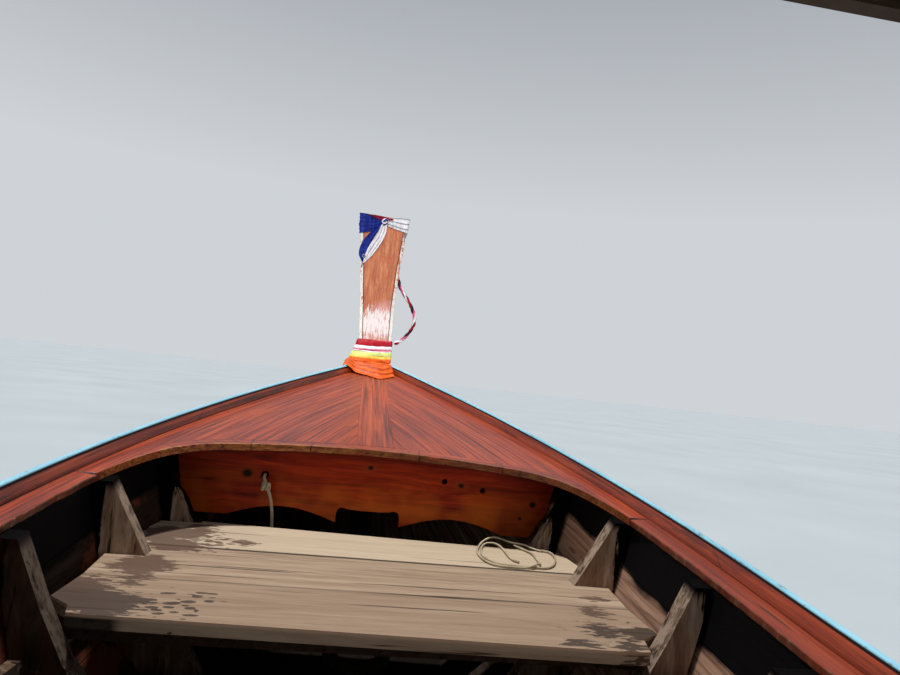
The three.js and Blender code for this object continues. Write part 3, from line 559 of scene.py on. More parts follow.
def rope_look():
    look = Look("rope", roughness=0.9, sheen=0.06, shine=0.1)
    dirt = look.noise(look.place(), 9.0, 4, 0.65)
    fibres = look.noise(look.place(), 900.0, 2, 0.7)
    look.base = look.ramp(dirt, (0.3, "9a8a74"), (0.55, "cfc0a4"), (0.8, "e6dabf"))
    look.cover(0.45, look.ramp(fibres, (0.3, "5d5140"), (0.7, "d8cbac")), how="MULTIPLY")
    # painted shade low down in the bow
    look.paint_shade_low_in_bow()
    return look.done().bump(fibres, 0.0006)


ROPE = rope_look()
STRANDS = 3
LOOSE_ROPE_RADIUS = 0.0045
LOOSE_ROPE = [
    (3144, -573, 426), (3173, -556, 426), (3232, -550, 426), (3300, -551, 426), (3375, -546, 426),
    (3394, -529, 430), (3394, -504, 430), (3383, -484, 427), (3317, -459, 426), (3221, -445, 426),
    (3150, -453, 426), (3107, -482, 426), (3094, -525, 426), (3084, -629, 426), (3092, -668, 426),
    (3127, -701, 426), (3193, -730, 426), (3268, -748, 426), (3325, -748, 426), (3346, -728, 426),
    (3348, -704, 426), (3380, -682, 426), (3398, -656, 432), (3409, -604, 435), (3436, -555, 443),
    (3439, -527, 444), (3419, -496, 438), (3382, -467, 427), (3265, -433, 426), (3170, -433, 426),
    (3108, -450, 426), (3076, -482, 426), (3068, -530, 426), (3068, -585, 428), (3090, -630, 437),
    (3130, -652, 428), (3244, -662, 426), (3298, -659, 426), (3336, -645, 426), (3388, -611, 429),
]
BULKHEAD_ROPE_RADIUS = 0.007
ROPE_ON_SOLE_Z = -51.5
BULKHEAD_ROPE = [
    (3562, 447, 604), (3545, 447, 604), (3524, 446, 600), (3510, 438, 582), (3504, 424, 556),
    (3503, 408, 516), (3503, 396, 460), (3503, 388, 380), (3503, 380, 280), (3503, 370, 180),
    (3502, 354, 80), (3500, 330, 5), (3500, 292, -42), (3502, 250, ROPE_ON_SOLE_Z),
    (3505, 180, ROPE_ON_SOLE_Z), (3507, 100, ROPE_ON_SOLE_Z), (3505.8, 20, ROPE_ON_SOLE_Z),
]
COIL_X, COIL_Y, COIL_RADIUS = 3.365, -0.008, 0.112
COIL_LAYERS, COIL_TURNS, COIL_STEPS = 3, 3, 20
COIL_FOOT = SOLE_TOP + 0.0085
TIE_PLACES, TIE_STEPS = (0.6, 2.9, 4.8), 24
ROPE_KNOT = Vector((3.5065, 0.432, 0.566))


def metres(points):
    return [Vector(p) / 1000 for p in points]


def coil_points():
    """Turns beside and on each other: each layer runs in or out by one diameter a turn."""
    pitch = 2 * BULKHEAD_ROPE_RADIUS
    end_x, end_y = (value / 1000 for value in BULKHEAD_ROPE[-1][:2])
    start = math.atan2(end_y - COIL_Y, end_x - COIL_X) - 0.16
    made = []
    for turn in range(COIL_LAYERS * COIL_TURNS):
        layer, within = divmod(turn, COIL_TURNS)
        inward = layer % 2 == 0
        last = within == COIL_TURNS - 1
        ring = within if inward else COIL_TURNS - 1 - within
        onward = 0 if last else (1 if inward else -1)
        for step in range(COIL_STEPS):
            share = step / COIL_STEPS
            late = smooth((share - 0.7) / 0.3)
            radius = COIL_RADIUS + pitch * (1 - ring - onward * late)
            rise = late if last and layer < COIL_LAYERS - 1 else 0
            height = COIL_FOOT + pitch * 0.97 * (layer + rise)
            angle = start - 2 * math.pi * share
            x, y = COIL_X + radius * math.cos(angle), COIL_Y + radius * math.sin(angle)
            made.append(Vector((x, y, height)))
    return made


def coil_tie(place):
    """Three turns of thin line bound round the coil, at an angle round it."""
    centre = Vector((COIL_X, COIL_Y, SOLE_TOP + 0.022))
    out = Vector((math.cos(place), math.sin(place), 0))
    loop = []
    for i, t in enumerate(angles(TIE_STEPS, 2 * TIE_STEPS + 1)):
        along = Vector((-out.y, out.x, 0)) * 0.004 * (i / TIE_STEPS - 1.5)
        ring = out * (COIL_RADIUS + 0.0255 * math.cos(t)) + Vector((0, 0, 0.0235 * math.sin(t)))
        loop.append(centre + ring + along)
    return tube(loop, 0.0018, 6)


def add_loose_rope():
    path = flow(metres(LOOSE_ROPE), 0.004)
    rope = piece("loose_rope_laid", *tube(path, LOOSE_ROPE_RADIUS, 12, STRANDS, 0.03), [ROPE],
                 slot="rope_fibre", replaces=["loose_rope"])


def add_bulkhead_rope():
    path = flow(metres(BULKHEAD_ROPE) + coil_points(), 0.006)
    knot_path = [
        ROPE_KNOT + Vector((0.013 * math.sin(2 * t) - 0.004, 0.014 * math.cos(t), 0.013 * math.sin(3 * t)))
        for t in angles(60)
    ]
    knot = piece("bulkhead_rope_knot", *tube(knot_path, 0.0062, 10, STRANDS, 0.04), [ROPE], slot="rope_fibre")
    ties = [coil_tie(place) for place in TIE_PLACES]
    tie = piece("bulkhead_rope_ties", *joined(ties), [ROPE], slot="rope_fibre")
    rope = piece("bulkhead_rope_laid", *tube(path, BULKHEAD_ROPE_RADIUS, 12, STRANDS, 0.045), [ROPE],
                 slot="rope_fibre", replaces=["bulkhead_rope", "bulkhead_rope_coil"])


add_loose_rope()
add_bulkhead_rope()


# Wood

# How much finer the varnished grain is along a board, across it and through it
GRAIN = (1.6, 60, 1)


def varnished(name, wear):
    """Red-brown varnish with long grain, worn by a function that lays its colours over it."""
    look = Look(name, roughness=0.38, coat=0.16, coat_roughness=0.2, shine=0.35)
    streak = look.grain(GRAIN, 5, 0.62, 0.6, uv=True)
    pores = look.grain([6 * s for s in GRAIN], 3, uv=True)
    patch = look.noise(look.place((0.9, 2.2, 2.2), uv=True), 1.6, 3, 0.55)
    look.base = look.ramp(streak, (0.28, "42140a"), (0.42, "7d2b0e"), (0.56, "a8451a"), (0.8, "cc6c34"))
    look.cover(0.55, look.ramp(patch, (0.3, "bc7a56"), (0.65, "ffdab0")), how="MULTIPLY")
    look.cover(look.band(pores, 0.6, 0.74), "30100a", 0.7)
    wear(look)
    return look.done().rough(patch, 0.3, 0.55).bump(streak, 0.0014).bump(pores, 0.0006)


def dark_joint(look):
    """A dark line where the washboards meet the deck."""
    look.cover(look.line(look.axis("X"), DECK_CORNER_X, 0.007, 0.003), "2a0f08")


def split(look):
    """Long dark splits along the grain."""
    look.cover(look.spots((1.3, 70, 1), 0.67, 0.7, 2, 0.5, uv=True), "220b06", 0.85)


def washboard_wear(look):
    """A dark, worn inboard edge with flecks of bare wood, scuffs, a seam and long splits."""
    across = look.axis("Y", uv=True)
    ragged = look.grain((9, 40, 1), 4, 0.7, uv=True)
    edge = look.band(look.plus(across, look.times(ragged, 0.03)), 0.08, 0.088)
    fleck = look.spots((26, 60, 1), 0.52, 0.6, uv=True)
    look.cover(edge, look.mix(look.times(fleck, 0.7), "45281a", "96704c"), 0.85)
    look.cover(look.spots((3.1, 22, 1), 0.58, 0.7, 5, uv=True), "4a1e10", 0.65)
    look.cover(look.to_starboard(0.5), "5e200d")
    seam = look.band(look.plus(across, look.times(ragged, 0.006)), 0.011, 0.006)
    look.cover(seam, "240d07", 0.8)
    dark_joint(look)
    split(look)


def covering_wear(look):
    """Dark stains, splits, and a scarf joint every metre and a half or so."""
    look.cover(look.spots((2.1, 24, 1), 0.5, 0.62, 5, 0.72, uv=True), "3c1d10", 0.75)
    slanted = look.plus(look.axis("X", uv=True), look.times(look.axis("Y", uv=True), 2.2))
    repeat = look.math("FRACT", look.times(slanted, 0.64))
    look.cover(look.line(repeat, 0.5, 0.003, 0.001), "1c0a06")
    look.cover(look.to_starboard(0.3), "6a210e")
    split(look)


def deck_wear(look):
    """Fine dark cracks along the grain."""
    look.cover(look.spots((2.4, 75, 1), 0.67, 0.72, 2, 0.5, uv=True), "38140a", 0.75)
    dark_joint(look)


# Cracks across the nosing, by their distance from its middle
NOSING_CRACKS = [0.503, 0.264, -0.19, -0.54]


def nosing_wear(look):
    """Ragged patches of bare, orange wood along the aft edge, dark nicks and a few open cracks."""
    ragged = look.grain((40, 7, 40), 5, 0.75)
    bare = look.band(look.plus(look.axis("Y", uv=True), look.times(ragged, -0.12)), -0.042, -0.06)
    flecks = look.grain((60, 14, 90), 4, 0.7)
    edge = look.ramp(flecks, (0.32, "4a2110"), (0.5, "a35f2c"), (0.72, "d9984c"))
    look.cover(bare, look.mix(look.to_starboard(0.6), edge, "4a2210"), 0.85)
    look.cover(look.spots((50, 22, 80), 0.58, 0.64, 3, 0.6), "34150a", 0.8)
    across = look.plus(look.axis("Y"), look.wander((30, 30, 30), 0.03))
    for y in NOSING_CRACKS:
        look.cover(look.line(across, y, 0.0035, 0.0015), "1a0906")


# Knots in the bulkhead: place across, height, radius
BULKHEAD_X = 3.55
BULKHEAD_KNOTS = [
    (0.01, 0.672, 0.016), (-0.717, 0.574, 0.022), (-0.665, 0.509, 0.014), (0.52, 0.605, 0.03),
    (-0.39, 0.63, 0.018),
]


def bulkhead_look():
    """Deep red varnish, with painted shade under the deck and at the ends, and painted sunlight as bright
    orange figure low down.
    """
    look = Look("bulkhead_varnish", roughness=0.36, shine=0.18)
    height = look.axis("Z")
    streak = look.grain((4, 1.5, 19), 5, 0.62, 1.6)
    patch = look.grain((1, 2.4, 3.6), 3)
    look.base = look.ramp(streak, (0.25, "4c0a01"), (0.45, "8e1e02"), (0.62, "bc3604"), (0.8, "dc5c0e"))
    look.cover(look.rings(look.place((1, 0.35, 1)), 11.0, 8.0, "Z"), "4a0e03", 0.35)
    # painted sunlight: bright orange patches low down
    look.cover(look.times(look.band(height, 0.66, 0.5), look.band(patch, 0.42, 0.62)), "d8640c", 0.75)
    # painted shade under the deck's edge
    look.cover(look.band(height, 0.66, 0.76), "2a0803", 0.6)
    # painted shade towards both ends
    look.cover(look.band(look.size_of(look.axis("Y")), 0.45, 0.85), "240a05", 0.55)
    for y, z, radius in BULKHEAD_KNOTS:
        look.cover(look.near((BULKHEAD_X, y, z), 3 * radius, (0, 1, 1.5)), "9a3a0c", 0.6)
        look.cover(look.near((BULKHEAD_X, y, z), radius, (0, 1, 1.2)), "1a0703")
    return look.done().rough(streak, 0.2, 0.42).bump(streak, 0.0012)


PLATFORM_Z = 0.42
# Wet patches on the platform: the ends of each along the boat, and across it
WET_PATCHES = [
    (3.07, 3.34, 0.66, 0.84), (3.11, 3.41, 0.57, 0.7), (2.97, 3.15, 0.55, 0.77), (3.1, 3.2, 0.41, 0.49),
    (2.7, 2.94, 0.59, 0.79), (2.6, 2.74, 0.64, 0.71), (2.35, 2.69, 0.68, 0.93), (2.37, 2.58, 0.57, 0.77),
    (2.58, 2.72, -0.73, -0.65), (2.43, 2.57, -0.7, -0.61), (2.35, 2.43, -0.63, -0.52),
    (2.42, 2.54, -0.86, -0.69), (2.32, 2.45, -0.75, -0.66), (2.74, 2.81, -0.79, -0.71),
]
# Where drops lie, in the same way
DROPS = [(2.34, 2.66, 0.36, 0.68), (2.54, 2.76, 0.58, 0.84), (2.95, 3.3, 0.45, 0.7), (2.35, 2.6, -0.86, -0.5)]
# Seams between the planks: place along the boat, half-width, strength. The fore seam's wide dark band is the
# seam with painted shade of a step between the planks.
PLATFORM_SEAMS = [(3.0525, 0.012, 0.9), (2.6925, 0.009, 0.35)]


def within(look, spans, where):
    """1 in the middle of any of the spans, and 0 outside them."""
    inside = None
    for x0, x1, y0, y1 in spans:
        stretch = (2 / (x1 - x0), 2 / (y1 - y0), 0)
        spot = look.near(((x0 + x1) / 2, (y0 + y1) / 2, PLATFORM_Z), 1.25, stretch, where)
        inside = spot if inside is None else look.math("MAXIMUM", inside, spot)
    return inside


def wet_share(look):
    """Soaked patches with ragged edges, and scattered drops."""
    shifted = look.pushed((70, 12, 70), (0.05, 0.3, 0))
    lumps = look.grain((22, 15, 22), 4, 0.7)
    soaked = look.band(look.times(within(look, WET_PATCHES, shifted), lumps), 0.21, 0.24)
    cells = look.node("TexVoronoi", Vector=look.place((44, 24, 44)), Scale=1.0).outputs["Distance"]
    scatter = look.spots((11, 8, 11), 0.36, 0.56, 3, 0.6)
    reach = look.all_of(within(look, DROPS, shifted), scatter, 0.52)
    drops = look.band(look.math("SUBTRACT", cells, reach), 0.0, -0.03)
    return look.math("MAXIMUM", soaked, drops)


def platform_look():
    """Bare, sun-bleached planks with the grain across the boat, dark seams and wet patches, and painted light
    and shade on the aft face.
    """
    look = Look("weathered_planks", roughness=0.82, shine=0.3)
    along = look.axis("X")
    streak = look.grain((26, 1.6, 26), 6, 0.65, 0.5)
    fibre = look.grain((190, 7, 190), 4, 0.7)
    patch = look.noise(look.place((3.0, 1.2, 3.0)), 1.3, 3, 0.55)
    look.base = look.ramp(streak, (0.25, "76604a"), (0.45, "98806a"), (0.6, "a9927a"), (0.8, "c4b096"))
    look.cover(0.4, look.ramp(fibre, (0.3, "8a745e"), (0.6, "ffffff")), how="MULTIPLY")
    look.cover(patch, "8f765e", 0.4)
    look.cover(look.band(along, 3.05, 3.056), "d2c0a4", 0.45)
    look.cover(look.band(along, 2.694, 2.69), "7f6752", 0.4)
    crack = look.spots((60, 1.1, 60), 0.65, 0.69, 3, 0.5)
    look.cover(crack, "33241a", 0.8)
    winding = look.plus(along, look.wander((0, 5, 0), 0.008))
    # dark seams, the fore one widened with painted shade of a step
    for seam, half, strength in PLATFORM_SEAMS:
        look.cover(look.line(winding, seam, half, 0.6 * half), "20160f", strength)
    wet = wet_share(look)
    look.cover(wet, look.mix(look.band(along, 2.7, 2.5), "523a2e", "2e2019"), 0.86)
    # painted light on the faces that look aft
    look.paint_light_aft(0.4)
    aft_face = look.band(look.facing("X"), -0.7, -0.9)
    # painted shade on the port end of the aft plank's aft face
    shaded_port_end = look.all_of(aft_face, look.band(along, 2.5, 2.4), look.band(look.axis("Y"), 0.6, 0.64))
    look.cover(shaded_port_end, "160f0c", 0.9)
    # painted highlight along the top of the aft face
    look.cover(look.times(aft_face, look.band(look.axis("Z"), 0.409, 0.415)), "e0b898", 0.7)
    look.done().rough(wet, 0.85, 0.55)
    return look.bump(streak, 0.0016).bump(fibre, 0.0008).bump(look.rest_of(crack), 0.002)


def rough_timber(name, stretch, tones, gap="1c130d", roughness=0.85, shine=0.4, shade_low_in_bow=False):
    """Hewn timber with long grain, cracks and lighter worn ridges. tones run from dark to light."""
    look = Look(name, roughness=roughness, shine=shine)
    streak = look.grain(stretch, 6, 0.65, 0.6)
    fibre = look.grain([7 * s for s in stretch], 3, 0.7)
    look.base = look.ramp(streak, *zip((0.28, 0.5, 0.75), tones))
    look.cover(look.grain((2.6, 2.6, 2.6)), tones[0], 0.6)
    crack = look.spots([1.7 * s for s in stretch], 0.64, 0.69, 2, 0.5)
    look.cover(crack, gap, 0.85)
    look.cover(0.3, look.ramp(fibre, (0.3, "7a6a5c"), (0.65, "ffffff")), how="MULTIPLY")
    # painted shade low down in the bow, where asked
    if shade_low_in_bow:
        look.paint_shade_low_in_bow()
    return look.done().bump(streak, 0.003).bump(fibre, 0.001).bump(look.rest_of(crack), 0.004)


def rib_look():
    """Grey-brown timber, split along its length, with painted light on the faces that look inboard and aft,
    and painted shade under the washboards and on the nearest ribs to port.
    """
    look = rough_timber("rib_timber", (26, 16, 2.6), ("33251d", "66503f", "a48d79"), "0e0907", shine=0.04)
    across, height = look.axis("Y"), look.axis("Z")
    inboard = look.band(look.times(look.facing("Y"), look.math("SIGN", across)), -0.3, -0.7)
    ridge = look.spots((30, 30, 5), 0.38, 0.56)
    # painted light: lighter on the faces that look inboard, where the worn ridges are
    look.cover(look.times(inboard, ridge), "b09a86", 0.6)
    # painted light on the faces that look aft, less of it low down
    look.paint_light_aft(look.times(look.band(height, 0.3, 0.4), 0.85))
    # painted shadow of the washboards: black near the heads and outboard
    washboard_shade = look.band(look.plus(look.inside_rail(), look.times(ridge, 0.012)), 0.156, 0.15)
    look.cover(look.math("MAXIMUM", look.band(look.under_sheer(), 0.1, 0.066), washboard_shade), "040303")
    # painted shade on the aft and inboard faces of the nearest ribs to port
    nearest = look.times(look.band(across, 0.3, 0.5), look.band(look.axis("X"), 2.6, 2.5))
    aft = look.band(look.facing("X"), -0.7, -0.9)
    look.cover(look.times(aft, nearest), look.mix(ridge, "120a08", "381a12"), 0.85)
    look.cover(look.times(inboard, nearest), "2a2321", 0.6)
    # bolt hole in the rib to port, its shade painted black
    look.cover(look.near((2.91, 0.802, 0.654), 0.011, (0, 1, 1)), "060403")
    # peeling white paint on the riser to port
    riser = look.times(look.band(height, 0.205, 0.225), look.band(height, 0.292, 0.275))
    flakes = look.spots((14, 20, 9), 0.56, 0.6, 5, 0.75)
    look.cover(look.all_of(riser, look.band(across, 0.5, 0.6), flakes), "b9b1a6")
    # painted shade low down in the bow
    look.paint_shade_low_in_bow()
    return look.done()


def hull_inside_look():
    """Planks black under the washboards, as painted shadow over dark tar, brown and scuffed below them, and
    painted shade to port.
    """
    look = Look("hull_inside", roughness=0.8, shine=0.08)
    streak = look.grain((1.4, 30, 1), 5, 0.65, 0.8, uv=True)
    look.base = look.ramp(streak, (0.3, "4a3328"), (0.5, "9a7560"), (0.75, "c4a08a"))
    look.cover(look.spots((3.4, 34, 1), 0.6, 0.66, 5, 0.75, uv=True), "150d0a", 0.8)
    # painted shade: the port side is near black, with a few patches of red-brown left
    left_over = look.spots((5, 5, 5), 0.5, 0.58, 5)
    look.cover(look.band(look.axis("Y"), -0.1, 0.3), look.mix(left_over, "100b0a", "602c1c"), 0.93)
    # painted shadow of the washboards over dark tar: black above a wavering line under the rail
    depth = look.plus(look.under_sheer(), look.times(look.grain((2.2, 3.0, 3.0)), 0.1))
    look.cover(look.band(depth, 0.285, 0.262), "070506")
    # painted shade low down in the bow
    look.paint_shade_low_in_bow()
    return look.done().bump(streak, 0.002)


def dirty_foot(look, patch):
    """Grey-brown dirt at the waterline, with an edge that wanders with patch."""
    height = look.math("SUBTRACT", look.axis("Z"), look.times(patch, 0.16))
    look.cover(look.band(height, 0.08, -0.04), "39342c", 0.75)


def hull_outside_look():
    """Brown varnish whose tone changes from board to board, dirty at the foot."""
    look = Look("hull_outside", roughness=0.42, coat=0.25, coat_roughness=0.25)
    streak = look.grain((1.1, 26, 1), 5, 0.62, 0.7, uv=True)
    board = look.node("CombineXYZ", Y=look.math("FLOOR", look.axis("Y", uv=True))).outputs[0]
    patch = look.grain((1.2, 2, 2.4))
    look.base = look.ramp(streak, (0.28, "4b1f0e"), (0.5, "8a431f"), (0.75, "b0683a"))
    look.cover(look.noise(board, 7.3), "5d2812", 0.5)
    dirty_foot(look, patch)
    return look.done().rough(patch, 0.35, 0.6).bump(streak, 0.001)


def transom_look():
    """Varnished planks across the stern, dark at their seams and dirty at the foot."""
    look = Look("transom_varnish", roughness=0.42, coat=0.16, coat_roughness=0.25, shine=0.35)
    streak = look.grain((8, 1.4, 26), 5, 0.62, 0.8)
    patch = look.grain((2, 2, 3))
    look.base = look.ramp(streak, (0.28, "3c150a"), (0.5, "7e3818"), (0.75, "ab5e34"))
    look.cover(patch, "4a1e0f", 0.6)
    seam = look.line(look.math("FRACT", look.times(look.axis("Z"), 5.2)), 0.5, 0.014, 0.007)
    look.cover(seam, "180b06", 0.9)
    dirty_foot(look, patch)
    look.done().rough(patch, 0.35, 0.6)
    return look.bump(streak, 0.001).bump(look.rest_of(seam), 0.002)


def prow_look():
    """Worn orange-brown face with flaking white paint low down, and white margins beside a dark groove."""
    look = Look("prow_wood", roughness=0.6)
    height = look.axis("Z")
    from_corner = look.axis("Y", uv=True)
    streak = look.grain((60, 60, 2.4), 5, 0.65, 0.5)
    mottle = look.grain((34, 34, 20), 5, 0.7)
    look.base = look.ramp(streak, (0.3, "a54c22"), (0.5, "c86f42"), (0.7, "e0925f"))
    look.cover(look.band(mottle, 0.5, 0.7), "a9532c", 0.5)
    look.cover(look.band(height, 1.44, 1.36), "d39a90", 0.6)
    look.cover(look.near((5.49, -0.03, 1.5), 0.14), "e6aca6", 0.6)
    painted = look.times(look.band(height, 1.66, 1.44), look.band(height, 1.26, 1.4))
    flaking = look.plus(look.grain((80, 80, 11), 5, 0.72), look.times(painted, 0.31))
    white = look.band(flaking, 0.63, 0.8)
    look.cover(white, "f2eae8", 0.94)
    groove_end = POST_MARGIN + POST_GROOVE
    groove = look.times(look.band(from_corner, POST_MARGIN - 0.001, POST_MARGIN + 0.0005),
                        look.band(from_corner, groove_end + 0.001, groove_end - 0.001))
    look.cover(groove, "3c1c12", 0.85)
    on_margin = look.times(look.band(from_corner, POST_MARGIN + 0.0005, POST_MARGIN - 0.001),
                           look.band(from_corner, -0.022, -0.018))
    worn = look.times(look.to_starboard(0.14), look.band(height, 1.5, 1.9))
    chips = look.plus(look.grain((70, 70, 26), 4, 0.72), worn)
    margin = look.times(on_margin, look.band(chips, 0.64, 0.57))
    look.cover(margin, "f3ece2", 0.95)
    look.done().rough(mottle, 0.45, 0.75)
    return look.bump(streak, 0.001).bump(mottle, 0.0008).bump(margin, 0.0008).bump(white, 0.0006)


def rail_look():
    """Light blue paint with chips that show the primer and the wood."""
    look = Look("rail_paint", roughness=0.45)
    chips = look.grain((22, 90, 90), 5, 0.75)
    look.base = look.ramp(look.grain((3, 8, 8)), (0.3, "6fb0c6"), (0.7, "97cfe0"))
    look.cover(look.band(chips, 0.6, 0.64), "8b7f52", 0.85)
    look.cover(look.band(chips, 0.68, 0.72), "2c2620", 0.9)
    return look.done().bump(look.band(chips, 0.64, 0.58), 0.001)


def worn_paint(name, colour, under, amount=0.62, roughness=0.45, metallic=0.0, scale=9.0):
    """Paint with scratches and chips that show what is under it. The higher amount is, the fewer chips."""
    look = Look(name, roughness=roughness, metallic=metallic)
    patch = look.noise(look.place(), scale * 0.5)
    chips = look.noise(look.place(), scale * 4, 6, 0.72)
    look.base = look.mix(look.times(patch, 0.45), colour, under)
    look.cover(look.band(chips, amount, amount + 0.03), under)
    look.done().rough(patch, roughness - 0.08, roughness + 0.2)
    return look.bump(look.band(chips, amount + 0.03, amount), 0.0006)


def metal(name, low, high, roughness, metallic=1.0, scale=14.0, grime="1d1712"):
    """Metal with blotches, fine scratches and grime."""
    look = Look(name, roughness=roughness, metallic=metallic)
    blotch = look.noise(look.place(), scale, 5)
    dirt = look.noise(look.place(), scale * 0.4, 4, 0.65)
    look.base = look.ramp(blotch, (0.3, low), (0.7, high))
    look.cover(look.band(dirt, 0.55, 0.69), grime, 0.8)
    look.done().rough(blotch, roughness - 0.1, roughness + 0.15)
    return look.bump(look.noise(look.place(), scale * 22, 3), 0.0003)


WASHBOARD = varnished("washboard_varnish", washboard_wear)
DECK = varnished("deck_varnish", deck_wear)
NOSING = varnished("nosing_varnish", nosing_wear)
COVERING = varnished("covering_varnish", covering_wear)
BULKHEAD = bulkhead_look()
PLATFORM = platform_look()
RIBS = rib_look()
HULL_INSIDE = hull_inside_look()
HULL_OUTSIDE = hull_outside_look()
TRANSOM = transom_look()
RAIL = rail_look()
PROW = prow_look()
PITCH_LINE = worn_paint("pitch_line", "0c0b0b", "2a211b", 0.7, 0.6)
OUTWALE = worn_paint("outwale_paint", "1f5f8f", "5b4030")
BACKBONE = rough_timber("backbone_timber", (1.6, 26, 26), ("241811", "3f2c20", "5e4634"))
SOLE = rough_timber("sole_boards", (1.5, 24, 24), ("3b2c22", "604c3c", "8a7460"), shine=0.03, shade_low_in_bow=True)
BENCHES = rough_timber("bench_boards", (24, 1.5, 24), ("6d5644", "9a8068", "bea78c"), "3c2c20", 0.7)
POLES = rough_timber("canopy_poles", (20, 20, 1.4), ("3d2b20", "634936", "876a50"))
RAFTERS = rough_timber("canopy_rafters", (1.4, 1.4, 20), ("35261c", "57402f", "785d46"))
DARK_STEEL = worn_paint("mount_steel", "2b3036", "5a3320", 0.6, 0.5, 0.3, 14)
IRON = metal("engine_iron", "4a4744", "77736d", 0.5)
RED_COVER = worn_paint("cover_paint", "8f1f16", "47423c", 0.62, 0.35, 0.2, 12)
BELT_METAL = metal("drive_metal", "2b2b2d", "56565a", 0.45)
RUST = metal("exhaust_rust", "4a2716", "8a5230", 0.8, 0.5, 20, "241510")
TUBE = worn_paint("tube_paint", "6d7478", "5a3a26", 0.6, 0.45, 0.4, 10)
BRONZE = metal("propeller_bronze", "7d5a28", "c09548", 0.3)
RUBBER = worn_paint("black_rubber", "141414", "262422", 0.66, 0.7)
BOLT = metal("bolt_steel", "5f6062", "9b9b98", 0.4, 1.0, 30)


# Hull planking, as boards of equal width with a groove at each seam

BOARDS, SEAM = 9, 0.0035
# Place across a board, and how deep the surface lies there
BOARD_PROFILE = [(0.0, SEAM), (0.02, 0.0), (0.27, 0.0), (0.5, 0.0), (0.73, 0.0), (0.98, 0.0)]
LENGTHS = ("aft", "mid", "fore")


def girth_points(x, count=90):
    """Outline of one side from keel to sheer, and how long it is up to each of its points."""
    run = [Vector(hull_side(x, (i / count) ** 1.7)) for i in range(count + 1)]
    return run, lengths_along(run)


def at_girth(run, gone, share):
    """The point at a share of the outline, and the direction out of the hull there."""
    wanted = share * gone[-1]
    i = next(k for k in range(1, len(gone)) if gone[k] >= wanted - 1e-9)
    step = gone[i] - gone[i - 1]
    t = (wanted - gone[i - 1]) / step if step else 0
    point = run[i - 1].lerp(run[i], t)
    along = (run[i] - run[i - 1]).normalized()
    return point, Vector((along.y, -along.x))


def planking_points(stations, steps, sign):
    """Points of the outside and then the inside at each station, with their places in the grain."""
    points, uvs = [], []
    for x in stations:
        run, gone = girth_points(x)
        outer, inner = [], []
        for share, depth in steps:
            point, out = at_girth(run, gone, share)
            outer.append(point - out * depth)
            lower = point - out * (PLANK - depth)
            inner.append(Vector((max(lower.x, KEEL_HALF), lower.y)))
        for skin in (outer, inner):
            for (share, _), point in zip(steps, skin):
                points.append(Vector((x, sign * point.x, point.y)))
                board = min(BOARDS - 1, int(share * BOARDS + 1e-6))
                uvs.append((x, board + (share * BOARDS - board) * 0.2))
    return points, uvs


def planking_faces(stations, count):
    """Faces of both skins and of the edges between them, marked 0 outside and 1 elsewhere."""
    faces, marks = [], []
    for i in range(stations - 1):
        for skin in (0, 1):
            for j in range(count - 1):
                a = (2 * i + skin) * count + j
                b = a + 2 * count
                faces.append([a, a + 1, b + 1, b])
                marks.append(skin)
        for a in (2 * i * count + count - 1, 2 * i * count):
            faces.append([a, a + count, a + 3 * count, a + 2 * count])
            marks.append(1)
    for i in (0, stations - 1):
        for j in range(count - 1):
            a = 2 * i * count + j
            faces.append([a, a + 1, a + count + 1, a + count])
            marks.append(1)
    return faces, marks


def add_planking(side, sign):
    stations = spread(STERN_X, BOW_X, 110)
    steps = [((board + share) / BOARDS, depth) for board in range(BOARDS) for share, depth in BOARD_PROFILE]
    steps.append((1.0, 0.0))
    points, uvs = planking_points(stations, steps, sign)
    faces, marks = planking_faces(len(stations), len(steps))
    made = piece(f"hull_boards_{side}", points, faces, [HULL_OUTSIDE, HULL_INSIDE], slot="hull_wood",
                 replaces=[f"hull_planking_{length}_{side}" for length in LENGTHS], uvs=uvs, marks=marks)
    sharpen(made, 30)


def add_nails(side, sign):
    """Nail heads over each rib, two to a board."""
    heads = []
    for k in range(-5, 17):
        x = RIB_A_X - RIB_PITCH * k
        if not STERN_X + 0.1 < x < BOW_X - 0.3:
            continue
        run, gone = girth_points(x, 40)
        for board in range(1, BOARDS):
            for share in (0.25, 0.75):
                point, out = at_girth(run, gone, (board + share) / BOARDS)
                if point.y < -0.02:
                    continue
                foot = Vector((x + 0.008 * (board % 3 - 1), sign * point.x, point.y))
                way = Vector((0, sign * out.x, out.y))
                heads.append(disc(foot - way * 0.002, way, 0.0055, 0.0032, 8))
    piece(f"hull_nails_{side}", *joined(heads), [BOLT], slot="hull_wood")


# Strips along the edge of the hull

# Moves the grain to starboard along, so that it isn't the same as to port
STARBOARD_GRAIN = 20
WORN_FROM = 0.069


def bitten(x, y, z, sign, wear):
    """A point of a worn edge, moved in or out and down a little."""
    bite = wobble(x * 14, sign * 3.1, 0) + 0.6 * wobble(x * 45, sign, 2)
    return y + wear * bite, z - wear * 0.5 * abs(wobble(x * 22, 5.0, sign))


